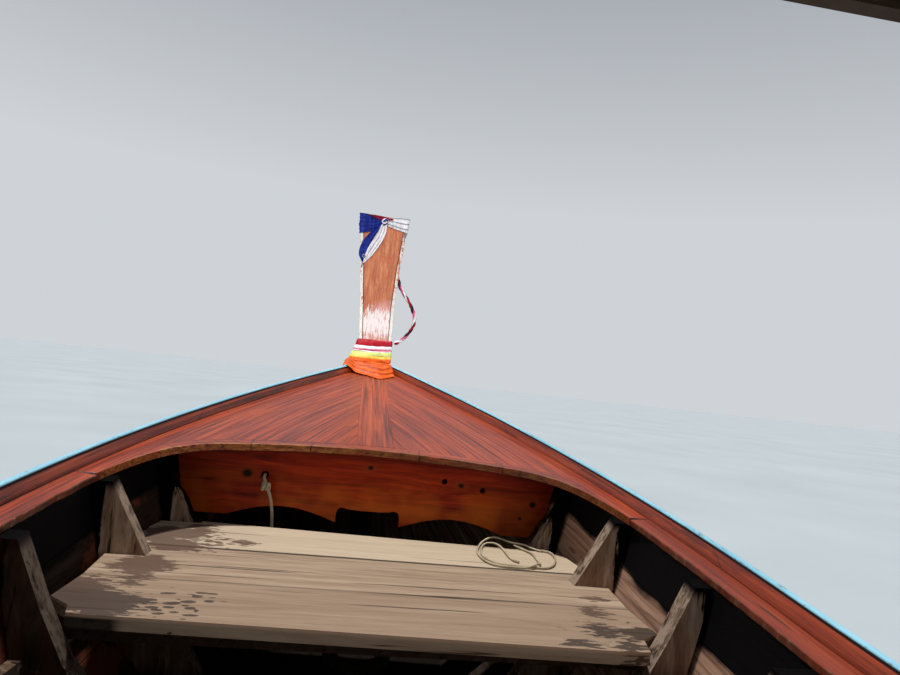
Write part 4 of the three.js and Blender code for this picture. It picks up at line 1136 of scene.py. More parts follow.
def edge_strip(node, looks, slot, end_x, corners, marks=None, wear=0.0, width=0.003, step=0.05):
    """A strip from the stern to end_x, whose section corners(x) gives as (y, z, place across). marks
    holds the look of each side of the section, and wear roughens its inboard corners."""
    count = round((end_x - STERN_X) / step)
    for side, sign in SIDES:
        rings, uvs = [], []
        for x in spread(STERN_X, end_x, count):
            ring = []
            for y, z, across in corners(x):
                if wear and across > WORN_FROM:
                    y, z = bitten(x, y, z, sign, wear)
                ring.append(Vector((x, sign * y, z)))
                uvs.append((x + STARBOARD_GRAIN * (sign < 0), across))
            rings.append(ring)
        all_marks = marks * count + [0, 0] if marks else None
        made = piece(f"{node}_{side}_planed", *loft(rings), looks, slot=slot,
                     replaces=[f"{node}_{side}"], uvs=uvs, marks=all_marks)
        turn_outward(made)
        round_edges(made, width)
        sharpen(made)


def rail(x):
    y, z = rail_half(x), rail_top(x)
    foot, top, paint_foot = z - BOARD_BOTTOM_DROP, z + RAIL_CROWN, z + RAIL_PAINT_FOOT
    return [(y - RAIL_WIDTH, foot, 0), (y, foot, 0.02), (y, top, 0.04), (y - RAIL_WIDTH, top, 0.06),
            (y - RAIL_WIDTH, paint_foot, 0.065)]


def covering(x):
    y, z = rail_half(x), rail_top(x)
    foot, outer_top, inner_top = z - BOARD_BOTTOM_DROP, z - COVERING_DROP, z - BOARD_TOP_DROP
    outer = y - RAIL_WIDTH - 0.0003
    return [(y - COVERING_INNER, foot, 0.0), (outer, foot, 0.02), (outer, outer_top, 0.04),
            (y - COVERING_INNER, inner_top, 0.075)]


def washboard(x):
    y, z = rail_half(x), rail_top(x)
    foot, top = z - BOARD_BOTTOM_DROP, z - BOARD_TOP_DROP
    outer, inner = y - WASHBOARD_OUTER, y - WASHBOARD_INNER
    return [(inner, foot, 0.072), (outer, foot, 0.0), (outer, top, 0.0),
            (y - 0.08, top - 0.5 * WASHBOARD_TILT, 0.035), (inner, top - WASHBOARD_TILT, 0.07)]


def outwale(x):
    top = rail_top(x) - SHEER_DROP
    low, face, inner = top - OUTWALE_DEPTH, rail_half(x) - 0.004, hull_half(x) - 0.004
    return [(inner - 0.006, low, 0), (hull_half(x) + overhang(x) * 0.5, low, 0.03),
            (face, top - OUTWALE_DEPTH * 0.55, 0.07), (face, top, 0.12), (inner, top, 0.17)]


def add_edges():
    edge_strip("rail", [RAIL, PITCH_LINE], "rail_paint", BOW_X, rail, [1, 0, 0, 0, 1])
    edge_strip("covering_board", [COVERING], "varnished_wood", BOW_X, covering, width=0.001)
    edge_strip("washboard", [WASHBOARD], "varnished_wood", DECK_CORNER_X, washboard, wear=0.004, step=0.02)
    edge_strip("outwale", [OUTWALE], "outwale_paint", BOW_X, outwale, width=0.006)


# Foredeck: a nosing along its aft edge, a king plank amidships and boards that follow the rail

KING_HALF, DECK_BOARD, BOARD_GAP, NOSING_WIDTH = 0.08, 0.105, 0.0007, 0.065
DECK_EDGE_CURVE = [
    (3.505, 0.0), (3.5, 0.25), (3.45, 0.43), (3.4, 0.6), (3.34, 0.76), (3.2, 0.835), (2.9, 0.8901),
]
# Points across a board
BOARD_COLUMNS = 5


def bezier(a, b, c, d, t):
    s = 1 - t
    return [s ** 3 * p + 3 * s * s * t * q + 3 * s * t * t * r + t ** 3 * w for p, q, r, w in zip(a, b, c, d)]


def deck_edge():
    """Points along the port half of the aft edge, from the centreline to the corner."""
    steps = 30
    inner = [bezier(*DECK_EDGE_CURVE[:4], i / steps) for i in range(steps)]
    outer = [bezier(*DECK_EDGE_CURVE[3:], i / steps) for i in range(steps + 1)]
    return [Vector(p) for p in inner + outer]


def nosing_end(edge):
    """Where the nosing meets the boards, beside each point of the edge."""
    run = []
    for before, point, after in zip([edge[0], *edge[:-1]], edge, [*edge[1:], edge[-1]]):
        along = (after - before).normalized()
        place = point + Vector((along.y, -along.x)) * NOSING_WIDTH
        place.y = min(place.y, rail_half(place.x) - WASHBOARD_INNER - BOARD_GAP)
        run.append(place)
    return run


def both_halves(run):
    """A line from starboard to port through the port half that is given and its mirror image."""
    return [Vector((p.x, -p.y)) for p in run[:0:-1]] + run


def slab(grid, uvs):
    """A closed board under a grid of places on the deck: points, faces and places in the grain."""
    columns, rows = len(grid), len(grid[0])
    places = [place for line in grid for place in line]
    points = [Vector((p.x, p.y, rail_top(p.x) - drop))
              for drop in (DECK_TOP_DROP, BOARD_BOTTOM_DROP) for p in places]
    below = len(places)
    faces = []
    for i in range(columns - 1):
        for j in range(rows - 1):
            a = i * rows + j
            faces.append([a, a + rows, a + rows + 1, a + 1])
            faces.append([below + a, below + a + 1, below + a + rows + 1, below + a + rows])
        for a in (i * rows, i * rows + rows - 1):
            faces.append([a, a + rows, below + a + rows, below + a])
    for i in (0, columns - 1):
        for j in range(rows - 1):
            a = i * rows + j
            faces.append([a, a + 1, below + a + 1, below + a])
    grain = [pair for line in uvs for pair in line]
    return points, faces, grain + grain


def deck_board(number, inset0, inset1, start_at, sign):
    """A board between two distances in from the rail, from where it starts to the king plank or the bow."""
    grid, uvs = [], []
    for inset in spread(inset0, inset1, BOARD_COLUMNS - 1):
        x0 = start_at(inset)
        reach = 1 - (KING_HALF + BOARD_GAP + inset) / MAX_RAIL_HALF
        at_king = WIDEST_X + (STEM_HEAD_X - WIDEST_X) * math.sqrt(max(0.0, reach))
        line = spread(x0, max(x0 + 0.003, min(BOW_X, at_king)), 45)
        grid.append([Vector((x, sign * (rail_half(x) - inset))) for x in line])
        across = inset - WASHBOARD_OUTER + 1.3 * number
        uvs.append([(x + STARBOARD_GRAIN * (sign < 0), across) for x in line])
    return slab(grid, uvs)


def deck_boards(inner):
    """Boards beside the washboards' line and inwards, from the nosing's end."""

    def start_at(inset):
        for a, b in zip(inner, inner[1:]):
            over_a = rail_half(a.x) - inset - a.y
            over_b = rail_half(b.x) - inset - b.y
            if over_a >= 0 >= over_b:
                return a.x + (b.x - a.x) * over_a / max(1e-9, over_a - over_b) + BOARD_GAP
        return inner[0].x + BOARD_GAP

    innermost = rail_half(inner[0].x) - KING_HALF - 2 * BOARD_GAP
    boards = []
    for number in range(math.ceil((innermost - WASHBOARD_INNER) / DECK_BOARD)):
        inset0 = WASHBOARD_INNER + number * DECK_BOARD + BOARD_GAP
        inset1 = min(innermost, inset0 + DECK_BOARD - 2 * BOARD_GAP)
        boards += [deck_board(number + 1, inset0, inset1, start_at, sign) for _, sign in SIDES]
    return boards


def king_plank(start_x):
    grid, uvs = [], []
    for share in spread(-1, 1, BOARD_COLUMNS - 1):
        line = spread(start_x, BOW_X, 50)
        grid.append([Vector((x, share * min(KING_HALF, rail_half(x) - WASHBOARD_OUTER))) for x in line])
        uvs.append([(x, share * KING_HALF + 30) for x in line])
    return slab(grid, uvs)


def nosing(edge, inner):
    """The curved board along the aft edge, a little ragged where feet have worn it."""
    outer_run, inner_run = both_halves(edge), both_halves(inner)
    gone = lengths_along(outer_run)
    grid, uvs = [], []
    for share in spread(0, 1, BOARD_COLUMNS - 1):
        line = [a.lerp(b, share) for a, b in zip(outer_run, inner_run)]
        if share == 0:
            line = [p + Vector((0.003 * wobble(p.y * 30, 4, 1), 0)) for p in line]
        grid.append(line)
        uvs.append([(g, NOSING_WIDTH * share) for g in gone])
    return slab(grid, uvs)


def add_deck_piece(name, boards, look, replaces=(), width=0.0022):
    shape = joined([(points, faces) for points, faces, _ in boards])
    grain = [pair for _, _, pairs in boards for pair in pairs]
    made = piece(name, *shape, [look], slot="varnished_wood", replaces=replaces, uvs=grain)
    turn_outward(made)
    sharpen(made)
    round_edges(made, width)


def add_foredeck():
    edge = deck_edge()
    inner = nosing_end(edge)
    boards = deck_boards(inner) + [king_plank(inner[0].x + BOARD_GAP)]
    margins = [deck_board(0, WASHBOARD_OUTER, WASHBOARD_INNER, lambda inset: DECK_CORNER_X + 0.0003, sign)
               for _, sign in SIDES]
    add_deck_piece("foredeck_boards", boards, DECK, replaces=["foredeck"])
    add_deck_piece("foredeck_margins", margins, DECK)
    add_deck_piece("foredeck_nosing", [nosing(edge, inner)], NOSING, width=0.004)


APRON_FROM, APRON_TO, APRON_HALF = 3.66, 5.26, KEEL_HALF + 0.012


def add_apron():
    """A timber along the inside of the stem, between the feet of the planks."""
    half = [(APRON_HALF, 0.03), (APRON_HALF, 0.075), (APRON_HALF - 0.008, 0.083)]
    section = half + [(-y, rise) for y, rise in reversed(half)]
    rings, uvs = [], []
    for x in spread(APRON_FROM, APRON_TO, 40):
        z = keel_line(x)
        rings.append([Vector((x, y, z + rise + 0.001 * math.sin(9 * x + 40 * y))) for y, rise in section])
        uvs += [(x, y) for y, _ in section]
    made = piece("stem_apron", *loft(rings), [BACKBONE], slot="backbone_wood", uvs=uvs)
    turn_outward(made)
    sharpen(made)


for hull_part, hull_sign in SIDES:
    add_planking(hull_part, hull_sign)
    add_nails(hull_part, hull_sign)
add_edges()
add_foredeck()
add_apron()


# Looks of the pieces that stay as the part has them

CAD_LOOKS = [
    (BACKBONE, ["keel", "stem", "keelson_and_floors", "engine_beam"]),
    (BACKBONE, ["platform_bearer_aft", "platform_bearer_fore"]),
    (TRANSOM, ["transom"]),
    (RIBS, [f"ribs_and_riser_{length}_{side}" for length in LENGTHS for side, _ in SIDES]),
    (BULKHEAD, ["bulkhead_board"]),
    (PLATFORM, ["platform_plank_aft", "platform_plank_mid", "platform_plank_fore"]),
    (SOLE, ["sole_boards"]),
    (BENCHES, ["bench_1", "bench_2", "bench_3", "bench_4", "aft_deck"]),
    (POLES, [f"canopy_posts_and_eaves_{side}" for side, _ in SIDES]),
    (RAFTERS, ["canopy_rafters"]),
    (DARK_STEEL, ["engine_pedestal", "swivel_yoke", "engine_cradle"]),
    (IRON, ["engine_block", "clutch_housing"]),
    (RED_COVER, ["engine_head_cover"]),
    (BELT_METAL, ["belt_drive_and_alternator"]),
    (RUST, ["exhaust_pipe"]),
    (TUBE, ["tail_tube", "tiller"]),
    (BRONZE, ["propeller"]),
]
# Width of the rounding on edges, where it isn't the usual one
PLAIN_ROUNDING = 0.003
ROUNDING = {
    "stem": 0.006, "keel": 0.006, "engine_block": 0.006, "engine_head_cover": 0.008, "propeller": 0.001,
    "tail_tube": 0.001, "tiller": 0.001, "exhaust_pipe": 0.001, "canopy_rafters": 0.001,
}

for cad_look, cad_names in CAD_LOOKS:
    for cad_name in cad_names:
        node = nodes[cad_name]
        node.data.materials.clear()
        node.data.materials.append(cad_look.material)
        round_edges(node, ROUNDING.get(cad_name, PLAIN_ROUNDING), 40)


# Prow post with a groove beside each edge

def post_at(z):
    """Aft face, fore edge, half-width aft, half-width fore and lean at a height."""
    for low, high in zip(POST_ROWS, POST_ROWS[1:]):
        if z <= high[0]:
            share = (z - low[0]) / (high[0] - low[0])
            return [a + (b - a) * share for a, b in zip(low, high)][1:]
    return POST_ROWS[-1][1:]


def post_section(z):
    """Round the post: place along the boat, distance from the middle, and distance in from the corner."""
    aft, fore, aft_half, fore_half, _ = post_at(z)
    wear = 0.0012 * wobble(z * 18, 0, 3)
    line = aft_half - POST_MARGIN
    half = [
        (aft, 0.0, aft_half), (aft, 0.5 * line, 0.5 * line + POST_MARGIN),
        (aft, line - POST_GROOVE, POST_MARGIN + POST_GROOVE),
        (aft + 0.003, line - 0.5 * POST_GROOVE, POST_MARGIN + 0.5 * POST_GROOVE), (aft, line, POST_MARGIN),
        (aft, aft_half - 0.006, 0.006), (aft + 0.0018 + wear, aft_half - 0.0018 - wear, 0.002),
        (aft + 0.007, aft_half - 0.0005, 0.0), (aft + 0.03, aft_half - 0.005, -0.024),
        (fore - 0.012, fore_half + 0.001, -0.3), (fore - 0.003, fore_half - 0.008, -0.31), (fore, 0.0, -0.35),
    ]
    return half + [(x, -y, inward) for x, y, inward in half[-2:0:-1]]


def add_prow_post():
    rings, uvs = [], []
    for z in spread(POST_ROWS[0][0], POST_ROWS[-1][0], 60):
        lean = post_at(z)[-1]
        section = post_section(z)
        rings.append([Vector((x, lean + y, z)) for x, y, _ in section])
        uvs += [(z, inward) for _, _, inward in section]
    made = piece("prow_post_carved", *loft(rings), [PROW], slot="prow_wood", replaces=["prow_post"], uvs=uvs)
    turn_outward(made)
    sharpen(made)


# Sashes on the prow post

def around_post(z, share, out):
    """A point round the post: 0 is amidships on the aft face, and it runs to port first."""
    aft, fore, aft_half, fore_half, lean = post_at(z)
    corners = [(aft, 0), (aft, aft_half), (fore, fore_half), (fore, -fore_half), (aft, -aft_half), (aft, 0)]
    lengths = [math.dist(a, b) for a, b in zip(corners, corners[1:])]
    wanted = (share % 1.0) * sum(lengths)
    centre = Vector(((aft + fore) / 2 - 0.03, 0))
    for a, b, length in zip(corners, corners[1:], lengths):
        if wanted <= length:
            point = Vector(a).lerp(Vector(b), wanted / length)
            square_out = Vector((a[1] - b[1], b[0] - a[0])).normalized()
            radial = (point - centre).normalized()
            point += (square_out * 0.6 + radial * 0.4).normalized() * out
            return Vector((point.x, point.y + lean, z))
        wanted -= length
    return Vector((aft - out, lean, z))


def satin(name, *stops, folds=0, crease_shade="12163c"):
    """Shiny cloth whose colour changes a little, with painted shade along the valleys of its folds. folds
    counts those across its width.
    """
    look = Look(name, roughness=0.5, shine=0.15)
    look.base = look.ramp(look.grain((30, 30, 50), 3), *stops)
    if folds:
        # painted shade along the valleys of the folds
        lean = look.times(look.grain((9, 9, 9), 2, 0.5), 0.8)
        turn = look.plus(look.times(look.axis("X", uv=True), folds), lean)
        look.cover(look.line(look.math("FRACT", turn), 0.5, 0.2, 0.03), crease_shade, 0.65)
    return look.done().bump(look.grain((700, 700, 700), 2, 0.5), 0.0003)


CRIMSON = satin("crimson_satin", (0.3, "8a0718"), (0.7, "b80e26"))
DARK_RED = satin("dark_red_satin", (0.3, "5f0f22"), (0.7, "a02038"))
PINK = satin("pink_satin", (0.3, "a83358"), (0.6, "d86a8c"))
WHITE = satin("white_satin", (0.3, "d5d2da"), (0.6, "fbf8f8"))
WHITE_FOLDED = satin("white_folded_satin", (0.3, "d8d6dd"), (0.6, "fbf8f8"), folds=3)
LIME = satin("lime_satin", (0.3, "c0d464"), (0.65, "dcee98"))
YELLOW = satin("yellow_satin", (0.3, "f0a93c"), (0.65, "fbd268"))
ORANGE = satin("orange_satin", (0.3, "d04e16"), (0.65, "ea6620"))
# a darker orange band, darkened further as painted shade under the band above
DARK_ORANGE_SHADED = satin("dark_orange_shaded_satin", (0.3, "5c1c06"), (0.65, "8a300e"))
SKIRT_ORANGE = satin("skirt_orange_satin", (0.3, "c8480f"), (0.65, "ea6620"), folds=4, crease_shade="7a2208")
BLUE = satin("blue_satin", (0.3, "101a66"), (0.65, "2438a4"), folds=5)
# white cloth in painted shade, as grey
SHADED_WHITE_CLOTH = satin("shaded_white_cloth", (0.3, "6d6e76"), (0.65, "a9aab2"))
DARK_RIBBON = satin("dark_ribbon", (0.3, "15121c"), (0.65, "33222f"))


def add_cloth(name, look, rings, closed=False, thickness=0.0012, folds_follow=False):
    """A thin sheet through rings of points."""
    rows, columns = len(rings), len(rings[0])
    uvs = [(i / rows if folds_follow else j / columns, 0) for i in range(rows) for j in range(columns)]
    made = piece(name, *loft(rings, closed=closed, caps=False), [look], slot="sash_cloth", uvs=uvs)
    thicken(made, thickness)
    return made


def port_wave(share):
    """1 round the post where the lower sash is gathered, to port, and -1 opposite."""
    return math.cos(2 * math.pi * (share - 0.15))


def flare(share, z):
    """How far the lower sash stands off the post: most to port, where it is gathered."""
    depth = max(0.0, 1.312 - z)
    return 0.005 + max(0.0, port_wave(share)) ** 2 * (0.36 * depth + 0.6 * depth ** 2)


# Name, look, top height and bottom height of each band
LOWER_BANDS = [
    ("crimson", CRIMSON, 1.316, 1.268), ("white", WHITE, 1.272, 1.246), ("pink", PINK, 1.249, 1.233),
    ("thin_white", WHITE, 1.237, 1.227), ("lime", LIME, 1.23, 1.196), ("yellow", YELLOW, 1.2, 1.176),
    ("orange", ORANGE, 1.18, 1.148), ("dark_orange_shaded", DARK_ORANGE_SHADED, 1.15, 1.126),
    ("lowest", ORANGE, 1.13, 1.106),
]


def band_point(share, t, top, bottom, seed):
    """A point of a band at a share round the post, where t runs from its top to its bottom."""
    z = top + (bottom - top) * t + 0.003 * math.sin(6 * math.pi * share + seed)
    lifted = max(0.0, port_wave(share)) ** 2 * clamp01((1.165 - z) / 0.05)
    z += 0.024 * lifted - 0.008 * port_wave(share)
    pleat = wobble(share * 40, t * 2.2 + seed, seed)
    crease = wobble(share * 14, t * 7 + seed, 4)
    bulge = math.sin(math.pi * t) ** 0.6
    return around_post(z, share, flare(share, z) + bulge * (0.006 + 0.003 * pleat + 0.003 * crease))


def add_lower_sash():
    """Bands wound one over another; the lowest lie on the deck and the rail to port."""
    rows, columns = 7, 200
    for k, (name, look, top, bottom) in enumerate(LOWER_BANDS):
        rings = [[band_point(j / columns, t, top, bottom, 3.7 * k) for j in range(columns)]
                 for t in spread(0, 1, rows - 1)]
        made = add_cloth(f"prow_band_{name}", look, rings, closed=True)
        if k == 0:
            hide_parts("prow_sash_lower")


# The lowest cloth, from under the bands to where it lies on the rail and the deck, from port to starboard
SKIRT_TOP = [
    (5.44, 0.205, 1.15), (5.39, 0.19, 1.158), (5.368, 0.145, 1.156), (5.372, 0.05, 1.154),
    (5.374, -0.03, 1.153), (5.378, -0.075, 1.153), (5.4, -0.1, 1.153),
]
SKIRT_FOOT = [
    (5.24, 0.222, 1.1), (5.19, 0.206, 1.115), (5.172, 0.166, 1.098), (5.165, 0.131, 1.0715),
    (5.12, 0.043, 1.056), (5.08, -0.035, 1.0435), (5.17, -0.13, 1.066),
]


def add_skirt():
    rows, columns = 29, 70
    top, foot = flow(SKIRT_TOP, 0.002), flow(SKIRT_FOOT, 0.003)
    rings = []
    for t in spread(0, 1, rows - 1):
        arch = math.sin(math.pi * t)
        ring = []
        for s in spread(0, 1, columns - 1):
            point = at_share(top, s).lerp(at_share(foot, s), t)
            phase = 4 * t + 0.5 * wobble(s * 5, t * 2, 7)
            rise = 0.007 * arch * (2 + math.cos(2 * math.pi * phase))
            point.z += rise + 0.004 * wobble(s * 11, t * 5, 2) * arch
            ring.append(point)
        rings.append(ring)
    add_cloth("prow_skirt", SKIRT_ORANGE, rings, thickness=0.0015, folds_follow=True)


# The upper sash, by its place round the post: share, lowest height, highest height
BLUE_FAN = [
    (-0.005, 2.174, 2.2), (0.03, 2.14, 2.218), (0.07, 2.108, 2.229), (0.142, 2.084, 2.234),
    (0.17, 2.09, 2.233), (0.3, 2.11, 2.215), (0.47, 2.12, 2.205),
]
WHITE_FAN = [
    (0.45, 2.12, 2.2), (0.65, 2.12, 2.215), (0.83, 2.125, 2.233), (0.858, 2.126, 2.234),
    (0.93, 2.143, 2.231), (0.975, 2.16, 2.216), (1.003, 2.174, 2.2),
]
RED_WEDGE = [
    (-0.05, 2.205, 2.216), (-0.02, 2.2, 2.222), (0.02, 2.197, 2.228), (0.06, 2.212, 2.23),
    (0.085, 2.224, 2.23),
]
SASH_TOP = 2.2345
# Left and right edges of what hangs from the knot, as distance to port and height
DRAPE_LEFT = [(0.1, 2.14), (0.15, 2.08), (0.192, 2.01), (0.206, 1.93), (0.175, 1.868)]
DRAPE_RIGHT = [(0.036, 2.182), (0.036, 2.113), (0.058, 2.041), (0.112, 1.936), (0.166, 1.86)]


def fan(name, look, stations, pleats, seed, rise=0.009, rows=17):
    """Cloth drawn round the post, with folds that run into the knot."""
    columns = 70
    line = flow(stations, 0.012)
    line = [line[round(i * (len(line) - 1) / (columns - 1))] for i in range(columns)]
    rings = []
    for t in spread(0, 1, rows - 1):
        ring = []
        for share, low, high in line:
            z = min(SASH_TOP, high + (low - high) * t)
            deep = clamp01((high - low) / 0.06) * (1 if 0 < share < 0.12 or share > 0.88 else 0.3)
            fold = math.cos(2 * math.pi * pleats * t + 0.7 * wobble(share * 6, seed, 0))
            ripple = wobble(share * 9, t * 3, seed)
            ring.append(around_post(z, share, rise + 0.006 * deep * fold + 0.002 * ripple))
        rings.append(ring)
    return add_cloth(name, look, rings, folds_follow=True)


def drape(name, look, first, last, folds):
    """A swag from the knot to a point near the port edge, its folds running down it."""
    rows, columns = 30, 22
    left = flow([(0, y, z) for y, z in DRAPE_LEFT], 0.004)
    right = flow([(0, y, z) for y, z in DRAPE_RIGHT], 0.004)
    rings = []
    for t in spread(0, 1, rows - 1):
        ring = []
        for s in spread(first, last, columns - 1):
            point = at_share(left, t).lerp(at_share(right, t), s)
            aft, _, aft_half, _, lean = post_at(point.z)
            fold = math.cos(2 * math.pi * folds * s + 0.8 * math.sin(5 * t)) * (1 - 0.5 * t)
            belly = math.sin(math.pi * min(1.0, 1.15 * t)) * (0.4 + 0.6 * math.sin(math.pi * clamp01(s)))
            over_edge = max(0.0, point.y - lean - aft_half + 0.004)
            point.x = aft - 0.014 - 0.008 * fold - 0.012 * belly + 1.4 * over_edge
            ring.append(point)
        rings.append(ring)
    return add_cloth(name, look, rings)


def add_fan_end():
    """The end of the white fan, which hangs at the starboard edge, grey with painted shade."""
    rings = []
    for t in spread(0, 1, 8):
        z = 2.14 - 0.075 * t
        aft, _, aft_half, _, lean = post_at(z)
        rings.append([Vector((aft - 0.012 + 0.02 * s, lean - aft_half + 0.012 - 0.02 * s * (1 - 0.6 * t), z))
                      for s in spread(0, 1, 5)])
    add_cloth("prow_fan_end", SHADED_WHITE_CLOTH, rings)


SASH_KNOT = Vector((5.526, 0.045, 2.186))
# Where the drape is tied, and the cord's end under it
DRAPE_TIE = Vector((5.506, 0.168, 1.912))
DRAPE_TAIL = [(5.512, 0.172, 1.868), (5.513, 0.176, 1.85), (5.514, 0.178, 1.83)]


def knot_loop(k, first):
    spin = first + 1.3 * k
    loop = [SASH_KNOT + Vector((0.01 * math.cos(t + spin), (0.014 + 0.003 * k) * math.sin(t),
                                0.014 * math.cos(t) + 0.005 * math.sin(2 * t + spin))) for t in angles(30, 1)]
    return tube(loop, 0.0052, 8)


def add_knots():
    for name, look, first, turns in (("white", WHITE, 0.0, 3), ("blue", BLUE, 1.9, 2)):
        loops = [knot_loop(k, first) for k in range(turns)]
        piece(f"prow_knot_{name}", *joined(loops), [look], slot="sash_cloth")
    # the drape's tie and its cord's end are white cloth, painted grey as shade
    loop = [DRAPE_TIE + Vector((0.003 * math.cos(3 * t), 0.009 * math.cos(t), 0.011 * math.sin(t)))
            for t in angles(24, 1)]
    tied = [tube(loop, 0.0035, 8), tube(flow(DRAPE_TAIL, 0.004), 0.005, 8)]
    piece("prow_drape_tie", *joined(tied), [SHADED_WHITE_CLOTH], slot="sash_cloth")


def add_upper_sash():
    blue = fan("prow_fan_blue", BLUE, BLUE_FAN, 5, 1.0)
    fan("prow_fan_white", WHITE_FOLDED, WHITE_FAN, 3, 2.0)
    fan("prow_wedge_red", DARK_RED, RED_WEDGE, 1.5, 3.0, rise=0.015, rows=7)
    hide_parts("prow_sash_upper")
    drape("prow_drape_blue", BLUE, -0.02, 0.56, 2.6)
    drape("prow_drape_white", WHITE_FOLDED, 0.5, 1.08, 1.8)
    add_fan_end()
    add_knots()


GARLAND = [
    (5.62, -0.07, 1.85), (5.54, -0.094, 1.79), (5.508, -0.12, 1.712), (5.5, -0.165, 1.651),
    (5.492, -0.212, 1.585), (5.487, -0.24, 1.52), (5.483, -0.243, 1.46), (5.475, -0.218, 1.395),
    (5.462, -0.172, 1.335), (5.44, -0.12, 1.3),
]
# Name, look, angle at which it starts, and width
RIBBONS = [
    ("red", CRIMSON, 0.0, 0.02), ("white", WHITE, 1.6, 0.018), ("pink", PINK, 3.1, 0.018),
    ("black", DARK_RIBBON, 4.7, 0.02),
]


def add_garland():
    """Twisted ribbons in a loop from the starboard side of the post to the lower sash."""
    line = flow(GARLAND, 0.006)
    for name, look, start, width in RIBBONS:
        rings = []
        for i, (centre, (side, up)) in enumerate(zip(line, frames_along(line))):
            angle = start + i * 0.19
            across = math.cos(angle) * side + math.sin(angle) * up
            off = math.cos(angle + 1.57) * side + math.sin(angle + 1.57) * up
            size = width * (0.75 + 0.25 * math.sin(i * 0.35 + start))
            ring = []
            for j in range(5):
                lift = 0.006 + 0.003 * math.cos(j * 1.6)
                ring.append(centre + across * size * (j / 4 - 0.5) * 1.2 + off * lift)
            rings.append(ring)
        add_cloth(f"prow_garland_{name}", look, rings, thickness=0.001)


add_prow_post()
add_lower_sash()
add_skirt()
add_upper_sash()
add_garland()


# Canopy cloth and its lashings

CLOTH_FRONT, CLOTH_BACK, CLOTH_HALF = 1.85, -3.33, 1.06
RAFTER_X = [1.65, 0.05, -1.55, -3.15]
END_RAFTER_X = [1.795, -3.275]
HEM_RADIUS = 0.0055


def canvas_look():
    """Dark blue-grey canvas with stains and a seam along the ridge."""
    look = Look("canopy_canvas", roughness=0.85, sheen=0.2)
    weave = look.times(*[look.rings(look.place(), 90.0, 0.3, way) for way in "XY"])
    stain = look.noise(look.place((1.2, 1.6, 1)), 1.3, 5, 0.65)
    look.base = look.ramp(stain, (0.3, "1c242c"), (0.55, "2e3a44"), (0.8, "4a565e"))
    look.cover(look.rest_of(look.band(look.size_of(look.axis("Y")), 0.0, 0.004)), "15191d")
    return look.done().bump(weave, 0.0006).bump(stain, 0.004)


def cloth_height(x, y):
    """Top of the rafters with a crown over the ridge, a sag between rafters and drooping edges."""
    out = abs(y)
    crown = 0.004 * (1 - min(1.0, out / 0.9))
    sag = 0.0
    for back, front in zip(RAFTER_X[1:], RAFTER_X):
        if back < x < front:
            along, across = (x - back) / (front - back), min(1.0, out / 0.95)
            sag = 0.016 * math.sin(math.pi * along) * math.sin(math.pi * across)
    droop = 0.042 * smooth((out - 1.034) / 0.026)
    ends = 0.006 * (smooth((CLOTH_BACK + 0.06 - x) / 0.06) + smooth((x - CLOTH_FRONT + 0.05) / 0.05))
    ripple = 0.004 * wobble(x * 3.1, y * 2.2, 0) + 0.002 * math.sin(x * 21) * smooth((out - 0.9) / 0.1)
    return RAFTER_TOP + 0.0125 + crown - sag - droop - ends + ripple


def on_cloth(x, y, lower=0.0):
    return Vector((x, y, cloth_height(x, y) - lower))


def hems():
    """Rolled edges: two along the boat and two across it."""
    xs = spread(CLOTH_BACK + 0.01, CLOTH_FRONT - 0.01, 150)
    ys = spread(0.012 - CLOTH_HALF, CLOTH_HALF - 0.012, 60)
    lines = [[on_cloth(x, side * (CLOTH_HALF - 0.004), 0.002) for x in xs] for side in (-1, 1)]
    lines += [[on_cloth(x, y, 0.002) for y in ys] for x in (CLOTH_BACK + 0.006, CLOTH_FRONT - 0.006)]
    return [tube(line, HEM_RADIUS, 8) for line in lines]


def lashing(x, side, half_size, turns, way=1):
    """Turns of thin line bound round an eaves pole, before or behind a rafter."""
    steps = 20
    line = []
    for i, t in enumerate(angles(steps, (turns - 1) * steps + 1)):
        reach = 0.86 * half_size / max(abs(math.cos(t)), abs(math.sin(t)))
        along = way * (0.028 + 0.007 * (i / steps))
        centre = Vector((x, side * EAVES_HALF, EAVES_Z + 0.0225))
        line.append(centre + Vector((along, reach * math.cos(t), reach * math.sin(t))))
    return tube(flow(line, 0.006), 0.0032, 6)


def add_canopy():
    along, across = 150, 120
    rings = [[on_cloth(x, CLOTH_HALF * (2 * j / across - 1)) for j in range(across + 1)]
             for x in spread(CLOTH_BACK, CLOTH_FRONT, along)]
    canvas = canvas_look()
    cloth = piece("canopy_canvas", *loft(rings, closed=False), [canvas], slot="canopy_cloth",
                  replaces=["canopy_cloth"])
    thicken(cloth, 0.0025)
    hem = piece("canopy_hem", *joined(hems()), [canvas], slot="canopy_cloth")
    lashings = []
    for side in (-1, 1):
        lashings += [lashing(x, side, 0.037, 5) for x in RAFTER_X]
        lashings += [lashing(x, side, 0.034, 4, 1 if x < 0 else -1) for x in END_RAFTER_X]
    piece("canopy_lashings", *joined(lashings), [ROPE], slot="rope_fibre")


add_canopy()


# Engine fittings, in the tilting group's own frame about the pivot

PIVOT = Vector((-5.05, 0, 1.05))
TAIL_DROP = math.radians(20)
TILTED = Matrix.Translation(PIVOT) @ Matrix.Rotation(-TAIL_DROP, 4, "Y")
CYLINDER_X = (0.14, 0.24, 0.36, 0.46)
BOTH = (1, -1)
TAIL_Z = 0.09
UP = (0, 0, 1)


def on_engine(name, shapes, look, slot="engine_metal"):
    made = piece(name, *moved(joined(shapes), TILTED), [look], body="engine", slot=slot)
    turn_outward(made)
    sharpen(made)


def bolts(places, axis, radius=0.009, height=0.007):
    return [disc(place, axis, radius, height, 6) for place in places]


